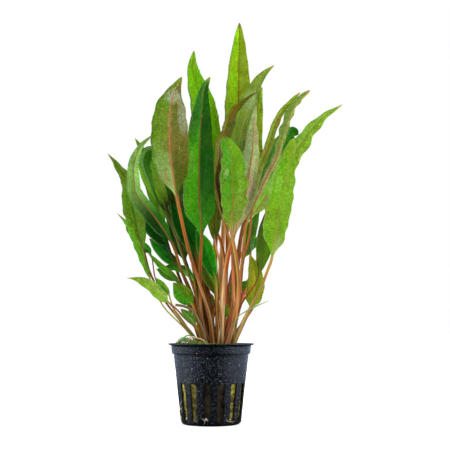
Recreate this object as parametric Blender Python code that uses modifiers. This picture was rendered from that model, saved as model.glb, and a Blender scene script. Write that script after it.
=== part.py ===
"""A potted cryptocoryne: a slotted black net pot, its rock-wool plug and moss, and a clump of leaves.

Lengths are in millimetres in the tables and in metres in the model. +Z is up, the front is -Y,
and the origin is the centre of the pot's flat underside.
"""

import math
from dataclasses import dataclass

import bmesh
import bpy
from mathutils import Matrix, Vector

MM = 0.001
GAP = 0.3

# The pot, turned: radii and heights of its outline.
POT_HEIGHT = 51.4
RIM_RADIUS = 27.8
RIM_THICKNESS = 0.9
RIM_LIP = 0.5
COLLAR_TOP_RADIUS = 25.9
COLLAR_FOOT_RADIUS = 25.4
COLLAR_FOOT_Z = 44.8
BODY_TOP_RADIUS = 24.3
BASE_RADIUS = 19.5
BASE_ROUNDING = 2.2
WALL = 1.2
FLOOR = 1.4
POT_STEPS = 45
PLUG_STEPS = 30

# The slots: 15 upright ones around the wall, and as many short ones in the floor, in line with them.
SLOT_COUNT = 15
FIRST_SLOT_ANGLE = -6.0
SLOT_TOP_WIDTH = 4.6
SLOT_FOOT_WIDTH = 3.4
SLOT_TOP_Z = 25.5
SLOT_FOOT_Z = 3.0
SLOT_DEPTH = 8.0
FLOOR_SLOT_LENGTH = 6.5
FLOOR_SLOT_WIDTH = 1.8
FLOOR_SLOT_RADIUS = 11.5

# The plug of rock wool, and the moss pad that covers it, flat where the leaf stalks stand.
PLUG_TOP_Z = 45.5
PLUG_SHOULDER = 2.0
PAD_FLAT_Z = 50.0
PAD_RADIUS = 23.2
PAD_SEGMENTS = 24
CROWN_CENTRE = (4.0, 0.0)
CROWN_RADII = (15.0, 17.5)
MOSS_RISE = 4.4

# The leaves are laid out on the front elevation, the plane y = 0, as seen from the eye point.
# Each leaf lies in a layer, from -4 (front) to 4 (back), and the layers fan out as they rise.
EYE = Vector((9.0, -600.0, 62.0))
STALK_FOOT_Z = PAD_FLAT_Z + GAP
LAYER_SPACING_FOOT = 2.5
LAYER_SPACING_RISE = 5.0
LAYER_SPACING_ARCH = 4.0
FAN_HEIGHT = 150.0

# Leaf sections, as half sizes.
STALK_RADIUS = 1.1
FULL_STALK_WIDTH = 16.0
LEAST_STALK_SHARE = 0.65
BLADE_HALF_THICKNESS = 0.45
MARGIN_HALF_THICKNESS = 0.24
TIP_HALF_WIDTH = 0.35

FINISHES = {
    "bright": (0.16, 0.37, 0.02),
    "green": (0.07, 0.24, 0.015),
    "dark": (0.02, 0.10, 0.012),
    "olive": (0.14, 0.19, 0.015),
    "brown": (0.22, 0.13, 0.05),
    "pale": (0.28, 0.33, 0.16),
}


@dataclass
class Leaf:
    """One leaf: points from the crown to the tip, as (x, z) on the front elevation.

    Lean is how far the tip arches behind its layer, or in front of it if negative. Roll turns the
    blade from the front towards the right. Side is 1 where the upper side faces the front. A low
    taper gives a blade that stays broad and ends bluntly.
    """

    name: str
    layer: float
    stalk: list
    blade: list
    width: float
    finish: str
    lean: float = 0.0
    roll: float = 0.0
    twist: float = 0.0
    fold: float = 14.0
    side: int = 1
    peak: float = 0.45
    taper: float = 0.75


LEAVES = [
    Leaf("leaf_front_left_broad", -4.0, [(1, 50), (-1, 69), (-8, 91), (-15, 113)],
         [(-23, 148), (-27, 173), (-28, 197), (-27, 213), (-23.5, 222), (-20, 229)],
         23.4, "brown", lean=-10, side=-1, peak=0.4, taper=0.62),
    Leaf("leaf_front_centre_wavy", -4.0, [(10, 50), (16, 70), (18, 91), (16, 110)],
         [(13, 125), (13, 133), (14, 143), (14, 153), (13.5, 165), (13, 175), (10, 183), (7.5, 188)],
         17.5, "bright", lean=-6, roll=22, peak=0.47, taper=0.5),
    Leaf("leaf_front_right_broad", -4.0, [(14, 50), (23, 69), (31, 84), (37, 99)],
         [(40, 108), (44, 132), (49, 157), (51, 168), (53, 180), (55, 187)],
         19.0, "bright", lean=-14, roll=-30, peak=0.4, taper=0.52),
    Leaf("leaf_low_striped", -4.0, [(-5, 50), (-8, 60)],
         [(-10, 63), (-13, 67), (-17, 71), (-20, 74)],
         6.0, "pale", lean=-2, peak=0.5),
    Leaf("leaf_tall_dark", -3.0, [(0, 50), (-5, 63), (-7, 80), (-7, 105)],
         [(-6.5, 122), (-8, 147), (-8, 173), (-7, 200), (-5, 220), (-1, 229)],
         19.5, "dark", lean=-4, roll=-6, peak=0.28, taper=0.5),
    Leaf("leaf_low_left_broad", -3.0, [(-3, 50), (-8, 62), (-10, 69)],
         [(-12, 76), (-16.5, 81), (-21, 86.5), (-25, 91)],
         11.0, "green", lean=-6, peak=0.5),
    Leaf("leaf_low_left_pointed", -3.0, [(-5.5, 50), (-9.5, 60.5), (-17.3, 67.5), (-22.5, 73.5)],
         [(-27.5, 78), (-35, 85), (-41.5, 90.3), (-49, 93.2), (-55, 94)],
         8.5, "bright", lean=-18, roll=25, peak=0.35),
    Leaf("leaf_right_pink", -3.0, [(12, 50), (18, 80), (21, 105), (25, 121)],
         [(27, 139), (32, 150), (36, 161), (42, 172), (46, 183), (49, 197), (52, 205), (59, 213), (66, 219)],
         8.5, "pale", lean=-10, roll=30, peak=0.5, taper=0.45, side=-1),
    Leaf("leaf_left_arched", -2.0, [(-3, 50), (-11, 77), (-19, 97)],
         [(-26, 117), (-38, 135), (-49, 149), (-51, 157), (-51.5, 168), (-49, 177), (-45.2, 183.5), (-38.5, 190)],
         16.5, "pale", lean=-14, roll=-35, peak=0.33, taper=0.82),
    Leaf("leaf_low_left_thin", -2.0, [(-5.6, 50), (-14, 60), (-24, 72)],
         [(-28, 81), (-32, 87), (-37, 93)],
         3.2, "bright", lean=-10),
    Leaf("leaf_centre_diagonal", -2.0, [(2.3, 50), (4, 66), (4, 80)],
         [(3, 92), (0, 101), (-3, 110), (-6, 118), (-10, 126)],
         11.0, "dark", lean=-2, peak=0.55),
    Leaf("leaf_centre_right_grey", -2.0, [(6.7, 50), (10, 73), (12, 103)],
         [(14, 120), (17, 132), (21, 143), (24, 158), (27, 177), (28, 195), (30, 211)],
         15.0, "pale", lean=-4, roll=30, peak=0.36, side=-1),
    Leaf("leaf_far_right_long", -1.8, [(10.6, 50), (14, 70), (18, 87), (20, 104), (22, 123)],
         [(24, 132), (31, 141), (40, 154), (51.5, 172), (58.5, 182), (66, 193), (76, 202.5), (87.5, 210)],
         12.5, "green", lean=-6, roll=20, peak=0.38),
    Leaf("leaf_left_narrow", -1.0, [(-6, 50), (-17, 61), (-29, 72.5), (-35.2, 82)],
         [(-39, 91), (-47, 109), (-51, 119), (-55.5, 129), (-62, 136.5)],
         7.0, "bright", lean=-12, roll=45),
    Leaf("leaf_left_strip", -1.0, [(-3.6, 50), (-11, 72), (-15.5, 85)],
         [(-20, 91), (-25.3, 97), (-31.5, 101.8), (-37, 107.5), (-41, 111.5)],
         6.0, "green", lean=-6, roll=35),
    Leaf("leaf_left_folded", -1.0, [(-1, 50), (-8, 76), (-15, 97)],
         [(-26, 128), (-31, 138), (-36, 146), (-41, 157), (-45, 169), (-44, 176), (-41, 179), (-37, 177),
          (-34, 169)],
         13.0, "dark", roll=52, peak=0.65, taper=0.5),
    Leaf("leaf_centre_young", -1.0, [(7, 50), (8.3, 64)],
         [(8.5, 67), (10, 72), (11, 77)],
         4.0, "bright", peak=0.5),
    Leaf("leaf_low_centre", -1.0, [(3.5, 50), (4, 68)],
         [(2.7, 82), (1, 90), (-3, 98), (-7, 106)],
         9.0, "green", peak=0.5),
    Leaf("leaf_twisted_brown", -1.0, [(10.6, 50), (16, 73), (17, 90), (15, 105), (12, 119)],
         [(8, 132), (5, 144), (3, 160), (5, 173), (6, 183), (10, 193), (13, 204), (19, 211), (26, 216),
          (31, 219)],
         13.0, "brown", lean=-2, roll=-45, side=-1),
    Leaf("leaf_right_dark_low", -1.0, [(13.7, 50), (19, 75), (27, 87)],
         [(31, 95), (33, 105), (35, 116), (36, 127), (36, 138)],
         11.0, "olive", peak=0.55),
    Leaf("leaf_leaning_right", 0.0, [(8.5, 50), (12, 63), (14.5, 80), (14, 105), (14, 127)],
         [(14, 147), (15, 163), (18, 183), (22, 201), (27.5, 216), (33.5, 229), (42, 237)],
         15.0, "olive", lean=4, roll=25, side=-1),
    Leaf("leaf_far_left_wavy", 0.0, [(-6, 50), (-21, 67), (-31, 80), (-40, 97)],
         [(-44, 111), (-48, 123), (-51, 137), (-53, 145), (-55, 157), (-58.5, 163), (-64, 171), (-69, 176.5)],
         14.0, "olive", lean=-4, roll=-25, peak=0.3),
    Leaf("leaf_left_level", 0.0, [(-2, 50), (-9, 77)],
         [(-11, 91), (-14, 97), (-18, 100), (-24, 102), (-29, 101), (-34, 100)],
         8.0, "green", lean=2, roll=-50),
    Leaf("leaf_centre_olive", 0.0, [(4.6, 50), (6.3, 78), (5.5, 103)],
         [(2.5, 117), (2, 128), (2, 137), (1, 145)],
         9.0, "olive", peak=0.55),
    Leaf("leaf_right_folded", 0.0, [(11.3, 50), (15.5, 65), (19, 85), (21, 107)],
         [(23, 132), (26, 143), (30, 160), (32.5, 171), (37.6, 182.6), (41, 192.4), (47, 204.2), (53.2, 211.3), (60, 218.6)],
         10.0, "olive", lean=2, roll=42),
    Leaf("leaf_low_right_broad", 0.0, [(14.6, 50), (22, 65)],
         [(25.5, 73.5), (28.3, 84), (29.2, 92), (27.8, 101), (25, 110)],
         11.5, "bright", peak=0.36),
    Leaf("leaf_back_left_tall", 1.0, [(5, 50), (9, 95), (7, 115), (3, 125), (0, 134)],
         [(-1, 141), (-2, 160), (-3, 180), (-6, 207), (-9.2, 219), (-12.8, 235), (-12, 247)],
         21.5, "bright", lean=6, roll=22, taper=0.7),
    Leaf("leaf_left_yellow", 1.0, [(0.3, 50), (-14, 97)],
         [(-29, 137), (-36, 152), (-40, 159), (-44, 165), (-50, 171)],
         12.0, "bright", lean=4, peak=0.5),
    Leaf("leaf_low_left_dark", 1.0, [(-2, 50), (-8, 70), (-16, 87)],
         [(-23, 92), (-29, 96), (-36, 100)],
         8.0, "dark", lean=2),
    Leaf("leaf_right_olive", 1.0, [(8.5, 50), (15, 90), (17, 107), (20, 125)],
         [(23, 137), (25.5, 153), (27, 173), (27.8, 190), (30.8, 207), (34, 222)],
         15.0, "olive", lean=-2, roll=-15),
    Leaf("leaf_left_shaded", 2.0, [(-2, 50), (-18, 87)],
         [(-28, 113), (-34, 121), (-41, 130), (-47, 139), (-52, 147)],
         12.0, "dark", lean=12),
    Leaf("leaf_inner_left", -0.5, [(1, 50), (-5, 87)],
         [(-9, 108), (-14, 120), (-20, 132), (-27, 145)],
         14.0, "dark", lean=4),
    Leaf("leaf_tallest", 2.0, [(5.3, 50), (6.5, 80), (8.5, 97), (9.7, 113), (10, 127)],
         [(13, 143), (16, 167), (18, 193), (18.2, 213), (18.5, 240), (18.8, 266.5)],
         19.0, "bright", lean=-6, roll=-15, taper=0.68),
    Leaf("leaf_right_recurved", 2.0, [(12.6, 50), (15, 80), (18, 105)],
         [(21, 127), (31, 155), (36, 165), (43.5, 177), (49.5, 186.5), (54, 191.5), (58, 189.5)],
         15.0, "dark", lean=6, roll=25, peak=0.7, taper=0.45),
    Leaf("leaf_inner_centre", 3.0, [(2, 50), (-4, 80)],
         [(-10, 104), (-13, 117), (-16, 131), (-17, 144)],
         12.0, "dark"),
    Leaf("leaf_left_small", 3.0, [(-5, 50), (-22, 77), (-34, 97)],
         [(-41, 112), (-46, 116.5), (-52, 119.5)],
         9.0, "dark", lean=10, peak=0.5),
    Leaf("leaf_left_inner_dark", 3.0, [(-2, 50), (-11, 80)],
         [(-21, 101), (-28, 107), (-34, 113), (-41, 120)],
         11.0, "dark", lean=10),
    Leaf("leaf_right_blue_green", 3.9, [(8.5, 50), (20, 64), (27, 74), (31.5, 84), (31, 96)],
         [(26, 108), (25, 116), (27, 127), (32, 139)],
         8.5, "green", roll=-20),
    Leaf("leaf_behind_front_right", 3.0, [(12.2, 50), (19, 76), (26, 94), (32, 112), (35, 125)],
         [(40, 143), (44, 158), (48, 174)],
         13.0, "green", lean=10),
    Leaf("leaf_behind_bundle", 4.2, [(5, 50), (10, 73)],
         [(13, 81), (19, 87), (26, 93)],
         7.0, "bright", roll=-30),
    Leaf("leaf_back_centre_tall", 4.0, [(1, 50), (0, 67), (4, 80), (6, 97), (8, 128)],
         [(9, 145), (11, 165), (12, 185), (10, 203)],
         15.0, "green", lean=14),
    Leaf("leaf_back_left_high", 4.0, [(-2.5, 50), (-9, 90), (-15, 120)],
         [(-19, 128), (-23, 143), (-26, 163), (-27, 185), (-26, 205)],
         15.0, "green", lean=20, peak=0.35),
    Leaf("leaf_back_left_tip", 4.0, [(-6, 50), (-19, 88), (-25, 105)],
         [(-31, 125), (-37, 148), (-42, 167), (-47, 180), (-51, 187)],
         12.0, "olive", lean=22, roll=20),
    Leaf("leaf_back_edge_on", 5.0, [(7.5, 50), (11, 84)],
         [(16, 106), (21, 110), (26, 115), (31, 120), (35, 128)],
         8.0, "dark", lean=12, roll=65),
    Leaf("leaf_back_left_low", 5.0, [(-1, 50), (-8, 75), (-13, 92)],
         [(-17, 104), (-20, 118), (-24, 132), (-30, 146)],
         14.0, "dark", lean=26),
    Leaf("leaf_back_centre_low", 3.0, [(5, 50), (4, 75), (2.5, 105)],
         [(3, 126), (3, 140), (4, 154), (6, 168)],
         13.0, "dark", lean=5),
    Leaf("leaf_back_right_low", 5.0, [(11, 50), (18, 78), (28, 100)],
         [(36, 116), (43, 128), (50, 137)],
         12.0, "green", lean=30, roll=-15),
    Leaf("leaf_back_far", 5.0, [(2, 50), (-2, 84), (-6, 105)],
         [(-8, 120), (-10, 142), (-10, 163), (-6, 184)],
         15.0, "bright", lean=34, roll=10),
    Leaf("leaf_back_low_left", 5.9, [(0.2, 50), (1, 62)],
         [(1, 72), (-3, 82), (-8, 88)],
         9.0, "green", lean=38, roll=15, peak=0.5),
    Leaf("leaf_back_low_right", 5.9, [(5, 50), (7, 63)],
         [(10, 73), (12, 84), (13, 92)],
         9.0, "bright", lean=34, roll=-20, peak=0.5),
]


@dataclass
class Stem:
    """A thin round piece: points (x, y, rise), where rise is the height above the moss."""

    name: str
    points: list
    radius: float
    finish: str


STEMS = [
    Stem("runner", [(-14, -14, 0.8), (-12.5, -14.3, 2.3), (-9, -15, 3.4), (-5, -15.5, 3.2), (-2, -15.5, 1.0)],
         0.45, "pale"),
    Stem("grass_blade_left", [(-19, -9, 0.8), (-17, -9.5, 2.2), (-14, -10, 3.4), (-10.5, -10.5, 3.4)],
         0.4, "green"),
    Stem("grass_blade_right",
         [(14.8, -11.8, 0.8), (15, -15.5, 9), (16, -18, 17), (24, -18, 22.8), (36.5, -18, 28.5)],
         0.5, "bright"),
    Stem("cut_stalk_left",
         [(-2.5, -11.5, 0.9), (-5, -13, 10), (-10.3, -14.5, 20.7), (-16, -15.5, 24.7), (-22.5, -16.5, 26)],
         0.8, "olive"),
    Stem("cut_stalk_right", [(10.8, -12.6, 0.9), (13.3, -14.6, 11), (16.6, -15.6, 16.5)],
         0.8, "brown"),
]
STEM_STEPS = 3


def clear_scene():
    """Start from an empty scene."""
    for obj in list(bpy.data.objects):
        bpy.data.objects.remove(obj, do_unlink=True)


def collection(name):
    """Add a collection to the scene."""
    group = bpy.data.collections.new(name)
    bpy.context.scene.collection.children.link(group)
    return group


def material(name, colour, roughness, metallic=0.0):
    """A plain Principled material."""
    mat = bpy.data.materials.new(name)
    mat.use_nodes = True
    shader = mat.node_tree.nodes["Principled BSDF"]
    shader.inputs["Base Color"].default_value = (*colour, 1.0)
    shader.inputs["Roughness"].default_value = roughness
    shader.inputs["Metallic"].default_value = metallic
    mat.diffuse_color = (*colour, 1.0)
    return mat


def add_object(name, mesh, group, mat):
    """Link a mesh as one named object."""
    obj = bpy.data.objects.new(name, mesh)
    group.objects.link(obj)
    mesh.materials.append(mat)
    return obj


def mesh_from(bm, name):
    """Turn a bmesh into a mesh, smooth with sharp creases."""
    bmesh.ops.recalc_face_normals(bm, faces=bm.faces[:])
    mesh = bpy.data.meshes.new(name)
    bm.to_mesh(mesh)
    bm.free()
    mesh.shade_smooth()
    mesh.set_sharp_from_angle(angle=math.radians(40))
    return mesh


def turned_object(name, outline, steps, group, mat):
    """A closed turned outline of (radius, z) points, in millimetres, under a Screw modifier."""
    bm = bmesh.new()
    verts = [bm.verts.new((radius * MM, 0.0, z * MM)) for radius, z in outline]
    for first, second in zip(verts, verts[1:]):
        bm.edges.new((first, second))
    mesh = bpy.data.meshes.new(name)
    bm.to_mesh(mesh)
    bm.free()
    obj = add_object(name, mesh, group, mat)
    screw = obj.modifiers.new("turn", "SCREW")
    screw.steps = steps
    screw.render_steps = steps
    screw.use_merge_vertices = True
    screw.merge_threshold = 0.00001
    screw.use_smooth_shade = True
    return obj


def wall_radius(z):
    """Outer radius of the tapering body at a height."""
    share = (z - BASE_ROUNDING) / (COLLAR_FOOT_Z - BASE_ROUNDING)
    return BASE_RADIUS + (BODY_TOP_RADIUS - BASE_RADIUS) * share


def pot_outline():
    """Outer side from the rim down, the underside, then up the inner side."""
    corner = math.cos(math.radians(45)) * BASE_ROUNDING
    rim_foot = POT_HEIGHT - RIM_THICKNESS
    return [
        (COLLAR_TOP_RADIUS - WALL, POT_HEIGHT - RIM_LIP),
        (RIM_RADIUS - RIM_LIP * 2, POT_HEIGHT - RIM_LIP),
        (RIM_RADIUS, POT_HEIGHT),
        (RIM_RADIUS, rim_foot),
        (COLLAR_TOP_RADIUS, rim_foot - RIM_LIP),
        (COLLAR_FOOT_RADIUS, COLLAR_FOOT_Z),
        (BODY_TOP_RADIUS, COLLAR_FOOT_Z),
        (wall_radius(BASE_ROUNDING), BASE_ROUNDING),
        (wall_radius(0.0) - BASE_ROUNDING + corner, BASE_ROUNDING - corner),
        (wall_radius(0.0) - BASE_ROUNDING, 0.0),
        (0.0, 0.0),
    ]


def pot_inner_outline():
    """Inner side from the middle of the floor up to the rim."""
    return [
        (0.0, FLOOR),
        (wall_radius(FLOOR) - WALL, FLOOR),
        (BODY_TOP_RADIUS - WALL, COLLAR_FOOT_Z - WALL),
        (COLLAR_FOOT_RADIUS - WALL, COLLAR_FOOT_Z),
        (COLLAR_TOP_RADIUS - WALL, POT_HEIGHT - RIM_LIP),
    ]


def around(angle, radius):
    """A point at an angle from the front, in degrees, growing to the right."""
    turn = math.radians(angle)
    return Vector((math.sin(turn) * radius, -math.cos(turn) * radius, 0.0))


def slot_cutter(group):
    """All the slots as one cutter: tapering ones in the wall and radial ones in the floor."""
    bm = bmesh.new()
    mid_z = (SLOT_TOP_Z + SLOT_FOOT_Z) / 2
    height = SLOT_TOP_Z - SLOT_FOOT_Z
    for number in range(SLOT_COUNT):
        angle = FIRST_SLOT_ANGLE + number * 360.0 / SLOT_COUNT
        made = bmesh.ops.create_cube(bm, size=1.0)["verts"]
        for vert in made:
            width = SLOT_TOP_WIDTH if vert.co.z > 0 else SLOT_FOOT_WIDTH
            vert.co = Vector((vert.co.x * width, vert.co.y * SLOT_DEPTH, vert.co.z * height))
        place = around(angle, wall_radius(mid_z)) + Vector((0.0, 0.0, mid_z))
        turn = Matrix.Rotation(math.radians(angle), 4, "Z")
        bmesh.ops.transform(bm, matrix=Matrix.Translation(place) @ turn, verts=made)
        made = bmesh.ops.create_cube(bm, size=1.0)["verts"]
        bmesh.ops.scale(bm, vec=(FLOOR_SLOT_WIDTH, FLOOR_SLOT_LENGTH, FLOOR * 4), verts=made)
        place = around(angle, FLOOR_SLOT_RADIUS)
        bmesh.ops.transform(bm, matrix=Matrix.Translation(place) @ turn, verts=made)
    bmesh.ops.scale(bm, vec=(MM, MM, MM), verts=bm.verts[:])
    red = material("cutter", (1.0, 0.0, 0.0), 0.5)
    cutter = add_object("slot_cutter", mesh_from(bm, "slot_cutter"), group, red)
    cutter.hide_render = True
    cutter.display_type = "WIRE"
    return cutter


def make_pot(group, cutters, mat):
    """The net pot: rim, collar and tapering wall with slots."""
    pot = turned_object("pot", pot_outline() + pot_inner_outline(), POT_STEPS, group, mat)
    cut = pot.modifiers.new("slots", "BOOLEAN")
    cut.operation = "DIFFERENCE"
    cut.object = slot_cutter(cutters)
    return pot


def make_plug(group, mat):
    """The rock wool, a tapering plug that fills the pot."""
    foot_z = FLOOR + GAP
    foot = wall_radius(foot_z) - WALL - GAP
    top = wall_radius(PLUG_TOP_Z - PLUG_SHOULDER) - WALL - GAP
    outline = [
        (0.0, PLUG_TOP_Z), (top - PLUG_SHOULDER, PLUG_TOP_Z), (top, PLUG_TOP_Z - PLUG_SHOULDER),
        (foot, foot_z), (0.0, foot_z),
    ]
    return turned_object("rock_wool_plug", outline, PLUG_STEPS, group, mat)


def crown_distance(x, y):
    """1 on the edge of the flat crown, less inside it."""
    return math.hypot((x - CROWN_CENTRE[0]) / CROWN_RADII[0], (y - CROWN_CENTRE[1]) / CROWN_RADII[1])


def moss_height(x, y):
    """Top of the moss: flat in the crown, in low mounds around it, highest at the front left."""
    outside = min(max((crown_distance(x, y) - 1.0) / 0.35, 0.0), 1.0)
    left = 0.5 - 0.5 * x / PAD_RADIUS
    lumps = 0.8 * math.sin(x * 0.9 + 1.0) * math.cos(y * 0.8)
    edge = min(max((PAD_RADIUS - math.hypot(x, y)) / 4.0, 0.0), 1.0)
    return PAD_FLAT_Z + outside * edge * (MOSS_RISE * left + lumps)


def make_moss(group, mat):
    """The moss pad on the plug, from a flat disc whose top is inset and raised."""
    bm = bmesh.new()
    foot_z = PLUG_TOP_Z + GAP
    bmesh.ops.create_cone(bm, cap_ends=True, segments=PAD_SEGMENTS, radius1=PAD_RADIUS - 1.0,
                          radius2=PAD_RADIUS, depth=PAD_FLAT_Z - foot_z)
    bmesh.ops.translate(bm, vec=(0, 0, (PAD_FLAT_Z + foot_z) / 2), verts=bm.verts[:])
    top = max(bm.faces, key=lambda face: face.calc_center_median().z)
    for _ in range(4):
        bmesh.ops.inset_region(bm, faces=[top], thickness=3.6)
    for vert in bm.verts:
        if vert.co.z > PAD_FLAT_Z - 0.01:
            vert.co.z = moss_height(vert.co.x, vert.co.y)
    bmesh.ops.scale(bm, vec=(MM, MM, MM), verts=bm.verts[:])
    return add_object("moss", mesh_from(bm, "moss"), group, mat)


def smooth_curve(points, steps=10):
    """Points on a Catmull-Rom curve through the given ones."""
    ends = [points[0] * 2 - points[1]] + points + [points[-1] * 2 - points[-2]]
    curve = []
    for before, start, end, after in zip(ends, ends[1:], ends[2:], ends[3:]):
        for step in range(steps):
            t = step / steps
            bend = (before * 2 - start * 5 + end * 4 - after) * t * t
            turn = (start * 3 - before - end * 3 + after) * t * t * t
            curve.append((start * 2 + (end - before) * t + bend + turn) / 2)
    curve.append(points[-1])
    return curve


def layer_depth(z, layer):
    """How far behind the front elevation a layer is at a height. The layers arch outwards."""
    rise = max((z - PAD_FLAT_Z) / FAN_HEIGHT, 0.0)
    return layer * (LAYER_SPACING_FOOT + LAYER_SPACING_RISE * rise + LAYER_SPACING_ARCH * rise * rise)


def at_depth(x, z, depth):
    """Bring a point of the front elevation to a depth, along the line of sight."""
    nearer = (depth - EYE.y) / -EYE.y
    return Vector((EYE.x + (x - EYE.x) * nearer, depth, EYE.z + (z - EYE.z) * nearer))


def at_length(curve, lengths, target):
    """The point of a polyline at a length along it."""
    for index in range(1, len(curve)):
        if lengths[index] >= target:
            span = lengths[index] - lengths[index - 1]
            share = (target - lengths[index - 1]) / span
            return curve[index - 1].lerp(curve[index], share)
    return curve[-1].copy()


def measure(curve):
    """Running length of a polyline."""
    lengths = [0.0]
    for first, second in zip(curve, curve[1:]):
        lengths.append(lengths[-1] + (second - first).length)
    return lengths


def blade_half_width(leaf, t):
    """Half width of the blade at a share of its length: narrow at both ends, widest at the peak."""
    power = math.log(0.5) / math.log(leaf.peak)
    return leaf.width / 2 * math.sin(math.pi * min(t, 1.0) ** power) ** leaf.taper


def stalk_radius(leaf):
    """Radius of a leaf's stalk. The small leaves have thin ones."""
    return STALK_RADIUS * min(max(leaf.width / FULL_STALK_WIDTH, LEAST_STALK_SHARE), 1.0)


def leaf_stations(leaf):
    """Places along a leaf: (point, share of the blade or None on the stalk)."""
    elevation = [Vector((x, 0.0, z)) for x, z in leaf.stalk + leaf.blade]
    run = measure(elevation)
    points = []
    for place, length in zip(elevation, run):
        depth = layer_depth(place.z, leaf.layer) + leaf.lean * (length / run[-1]) ** 2
        points.append(at_depth(place.x, place.z, depth))
    points[0].z = STALK_FOOT_Z
    steps = 10
    curve = smooth_curve(points, steps)
    lengths = measure(curve)
    blade_from = lengths[len(leaf.stalk) * steps]
    blade_length = lengths[-1] - blade_from
    stalk_count = 3 + (len(leaf.stalk) > 2) + (len(leaf.stalk) > 3)
    blade_count = 5 + (blade_length > 40) + (blade_length > 70) + (blade_length > 95)
    stations = []
    for number in range(stalk_count):
        stations.append((at_length(curve, lengths, blade_from * number / stalk_count), None))
    for number in range(blade_count + 1):
        t = number / blade_count
        stations.append((at_length(curve, lengths, blade_from + blade_length * t), t))
    return stations


def leaf_frames(leaf, stations):
    """Carry a facing along the leaf without needless turning, then add its roll and twist."""
    places = [place for place, _ in stations]
    tangents = []
    for index in range(len(places)):
        ahead = places[min(index + 1, len(places) - 1)]
        behind = places[max(index - 1, 0)]
        tangents.append((ahead - behind).normalized())
    facing = Vector((0.0, -1.0, 0.0))
    frames = []
    for tangent, (_, t) in zip(tangents, stations):
        facing = (facing - tangent * facing.dot(tangent)).normalized()
        angle = math.radians(leaf.roll + leaf.twist * (t or 0.0))
        normal = Matrix.Rotation(angle, 3, tangent) @ facing
        frames.append((tangent.cross(normal).normalized(), normal))
    return frames


def leaf_section(leaf, t):
    """Six corners of a section, as (across, out), running round it."""
    stalk = stalk_radius(leaf)
    if t is None:
        half, middle, margin = stalk * 0.87, stalk, stalk * 0.5
        lift = 0.0
    else:
        fade = min(t / 0.25, 1.0)
        least = stalk * 0.87 * (1 - fade) + TIP_HALF_WIDTH * fade
        half = max(blade_half_width(leaf, t), least)
        middle = stalk * (1 - fade) + BLADE_HALF_THICKNESS * fade
        margin = stalk * 0.5 * (1 - fade) + MARGIN_HALF_THICKNESS * fade
        lift = half * math.tan(math.radians(leaf.fold)) * leaf.side * fade
    return [
        (half, lift + margin), (half, lift - margin), (0.0, -middle),
        (-half, lift - margin), (-half, lift + margin), (0.0, middle),
    ]


def make_leaf(leaf, group, mat):
    """One leaf, lofted from its stalk's foot to its tip."""
    stations = leaf_stations(leaf)
    frames = leaf_frames(leaf, stations)
    bm = bmesh.new()
    rings = []
    for index, ((place, t), (across, out)) in enumerate(zip(stations, frames)):
        ring = []
        for wide, high in leaf_section(leaf, t):
            corner = place + across * wide + out * high
            if index == 0:
                corner.z = STALK_FOOT_Z
            ring.append(bm.verts.new(corner * MM))
        rings.append(ring)
    for ring, following in zip(rings, rings[1:]):
        for corner in range(6):
            beside = (corner + 1) % 6
            bm.faces.new((ring[corner], ring[beside], following[beside], following[corner]))
    bm.faces.new(rings[0])
    bm.faces.new(rings[-1])
    return add_object(leaf.name, mesh_from(bm, leaf.name), group, mat)


def stem_point(x, y, rise):
    """A stem's point above the moss; past the moss's edge or over the crown it counts from the flat."""
    base = moss_height(x, y) if rise < MOSS_RISE else PAD_FLAT_Z
    return Vector((x, y, base + rise))


def make_stem(stem, group, mat):
    """A tube through a stem's points, with closed ends."""
    route = smooth_curve([stem_point(*point) for point in stem.points], STEM_STEPS)
    curve = bpy.data.curves.new(stem.name, "CURVE")
    curve.dimensions = "3D"
    curve.bevel_depth = stem.radius * MM
    curve.bevel_resolution = 1
    curve.use_fill_caps = True
    spline = curve.splines.new("POLY")
    spline.points.add(len(route) - 1)
    for point, place in zip(spline.points, route):
        point.co = (*(place * MM), 1.0)
    obj = bpy.data.objects.new(stem.name, curve)
    group.objects.link(obj)
    curve.materials.append(mat)
    return obj


def main():
    """Build the whole object."""
    clear_scene()
    parts = collection("potted_cryptocoryne")
    cutters = collection("cutters")
    make_pot(parts, cutters, material("black_plastic", (0.012, 0.015, 0.02), 0.35))
    make_plug(parts, material("rock_wool", (0.16, 0.14, 0.03), 0.95))
    make_moss(parts, material("moss", (0.08, 0.12, 0.02), 0.95))
    finishes = {name: material("leaf_" + name, colour, 0.45) for name, colour in FINISHES.items()}
    for leaf in LEAVES:
        make_leaf(leaf, parts, finishes[leaf.finish])
    for stem in STEMS:
        make_stem(stem, parts, finishes[stem.finish])


main()
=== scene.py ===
import math
import random
from dataclasses import dataclass, field

import bmesh
import bpy
from mathutils import Matrix, Vector, noise


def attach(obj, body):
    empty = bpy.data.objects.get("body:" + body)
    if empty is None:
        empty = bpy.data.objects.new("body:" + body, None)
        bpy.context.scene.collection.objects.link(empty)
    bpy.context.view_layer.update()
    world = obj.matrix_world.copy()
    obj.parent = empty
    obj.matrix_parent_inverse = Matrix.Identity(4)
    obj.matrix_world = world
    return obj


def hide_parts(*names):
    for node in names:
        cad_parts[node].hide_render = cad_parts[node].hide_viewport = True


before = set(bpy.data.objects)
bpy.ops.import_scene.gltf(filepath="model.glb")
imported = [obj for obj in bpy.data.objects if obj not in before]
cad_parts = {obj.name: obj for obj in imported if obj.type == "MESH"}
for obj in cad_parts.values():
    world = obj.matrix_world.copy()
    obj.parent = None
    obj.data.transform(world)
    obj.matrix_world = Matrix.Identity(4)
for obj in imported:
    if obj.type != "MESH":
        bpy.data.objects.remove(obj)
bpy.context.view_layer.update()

# The potted cryptocoryne: wavy leaves on pink and brown stalks, a wet black net pot, its rock wool,
# moss, runner and roots. Tables are in millimetres, objects in metres. The front is -Y.

MM = 0.001
ROOT = "root"

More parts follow.
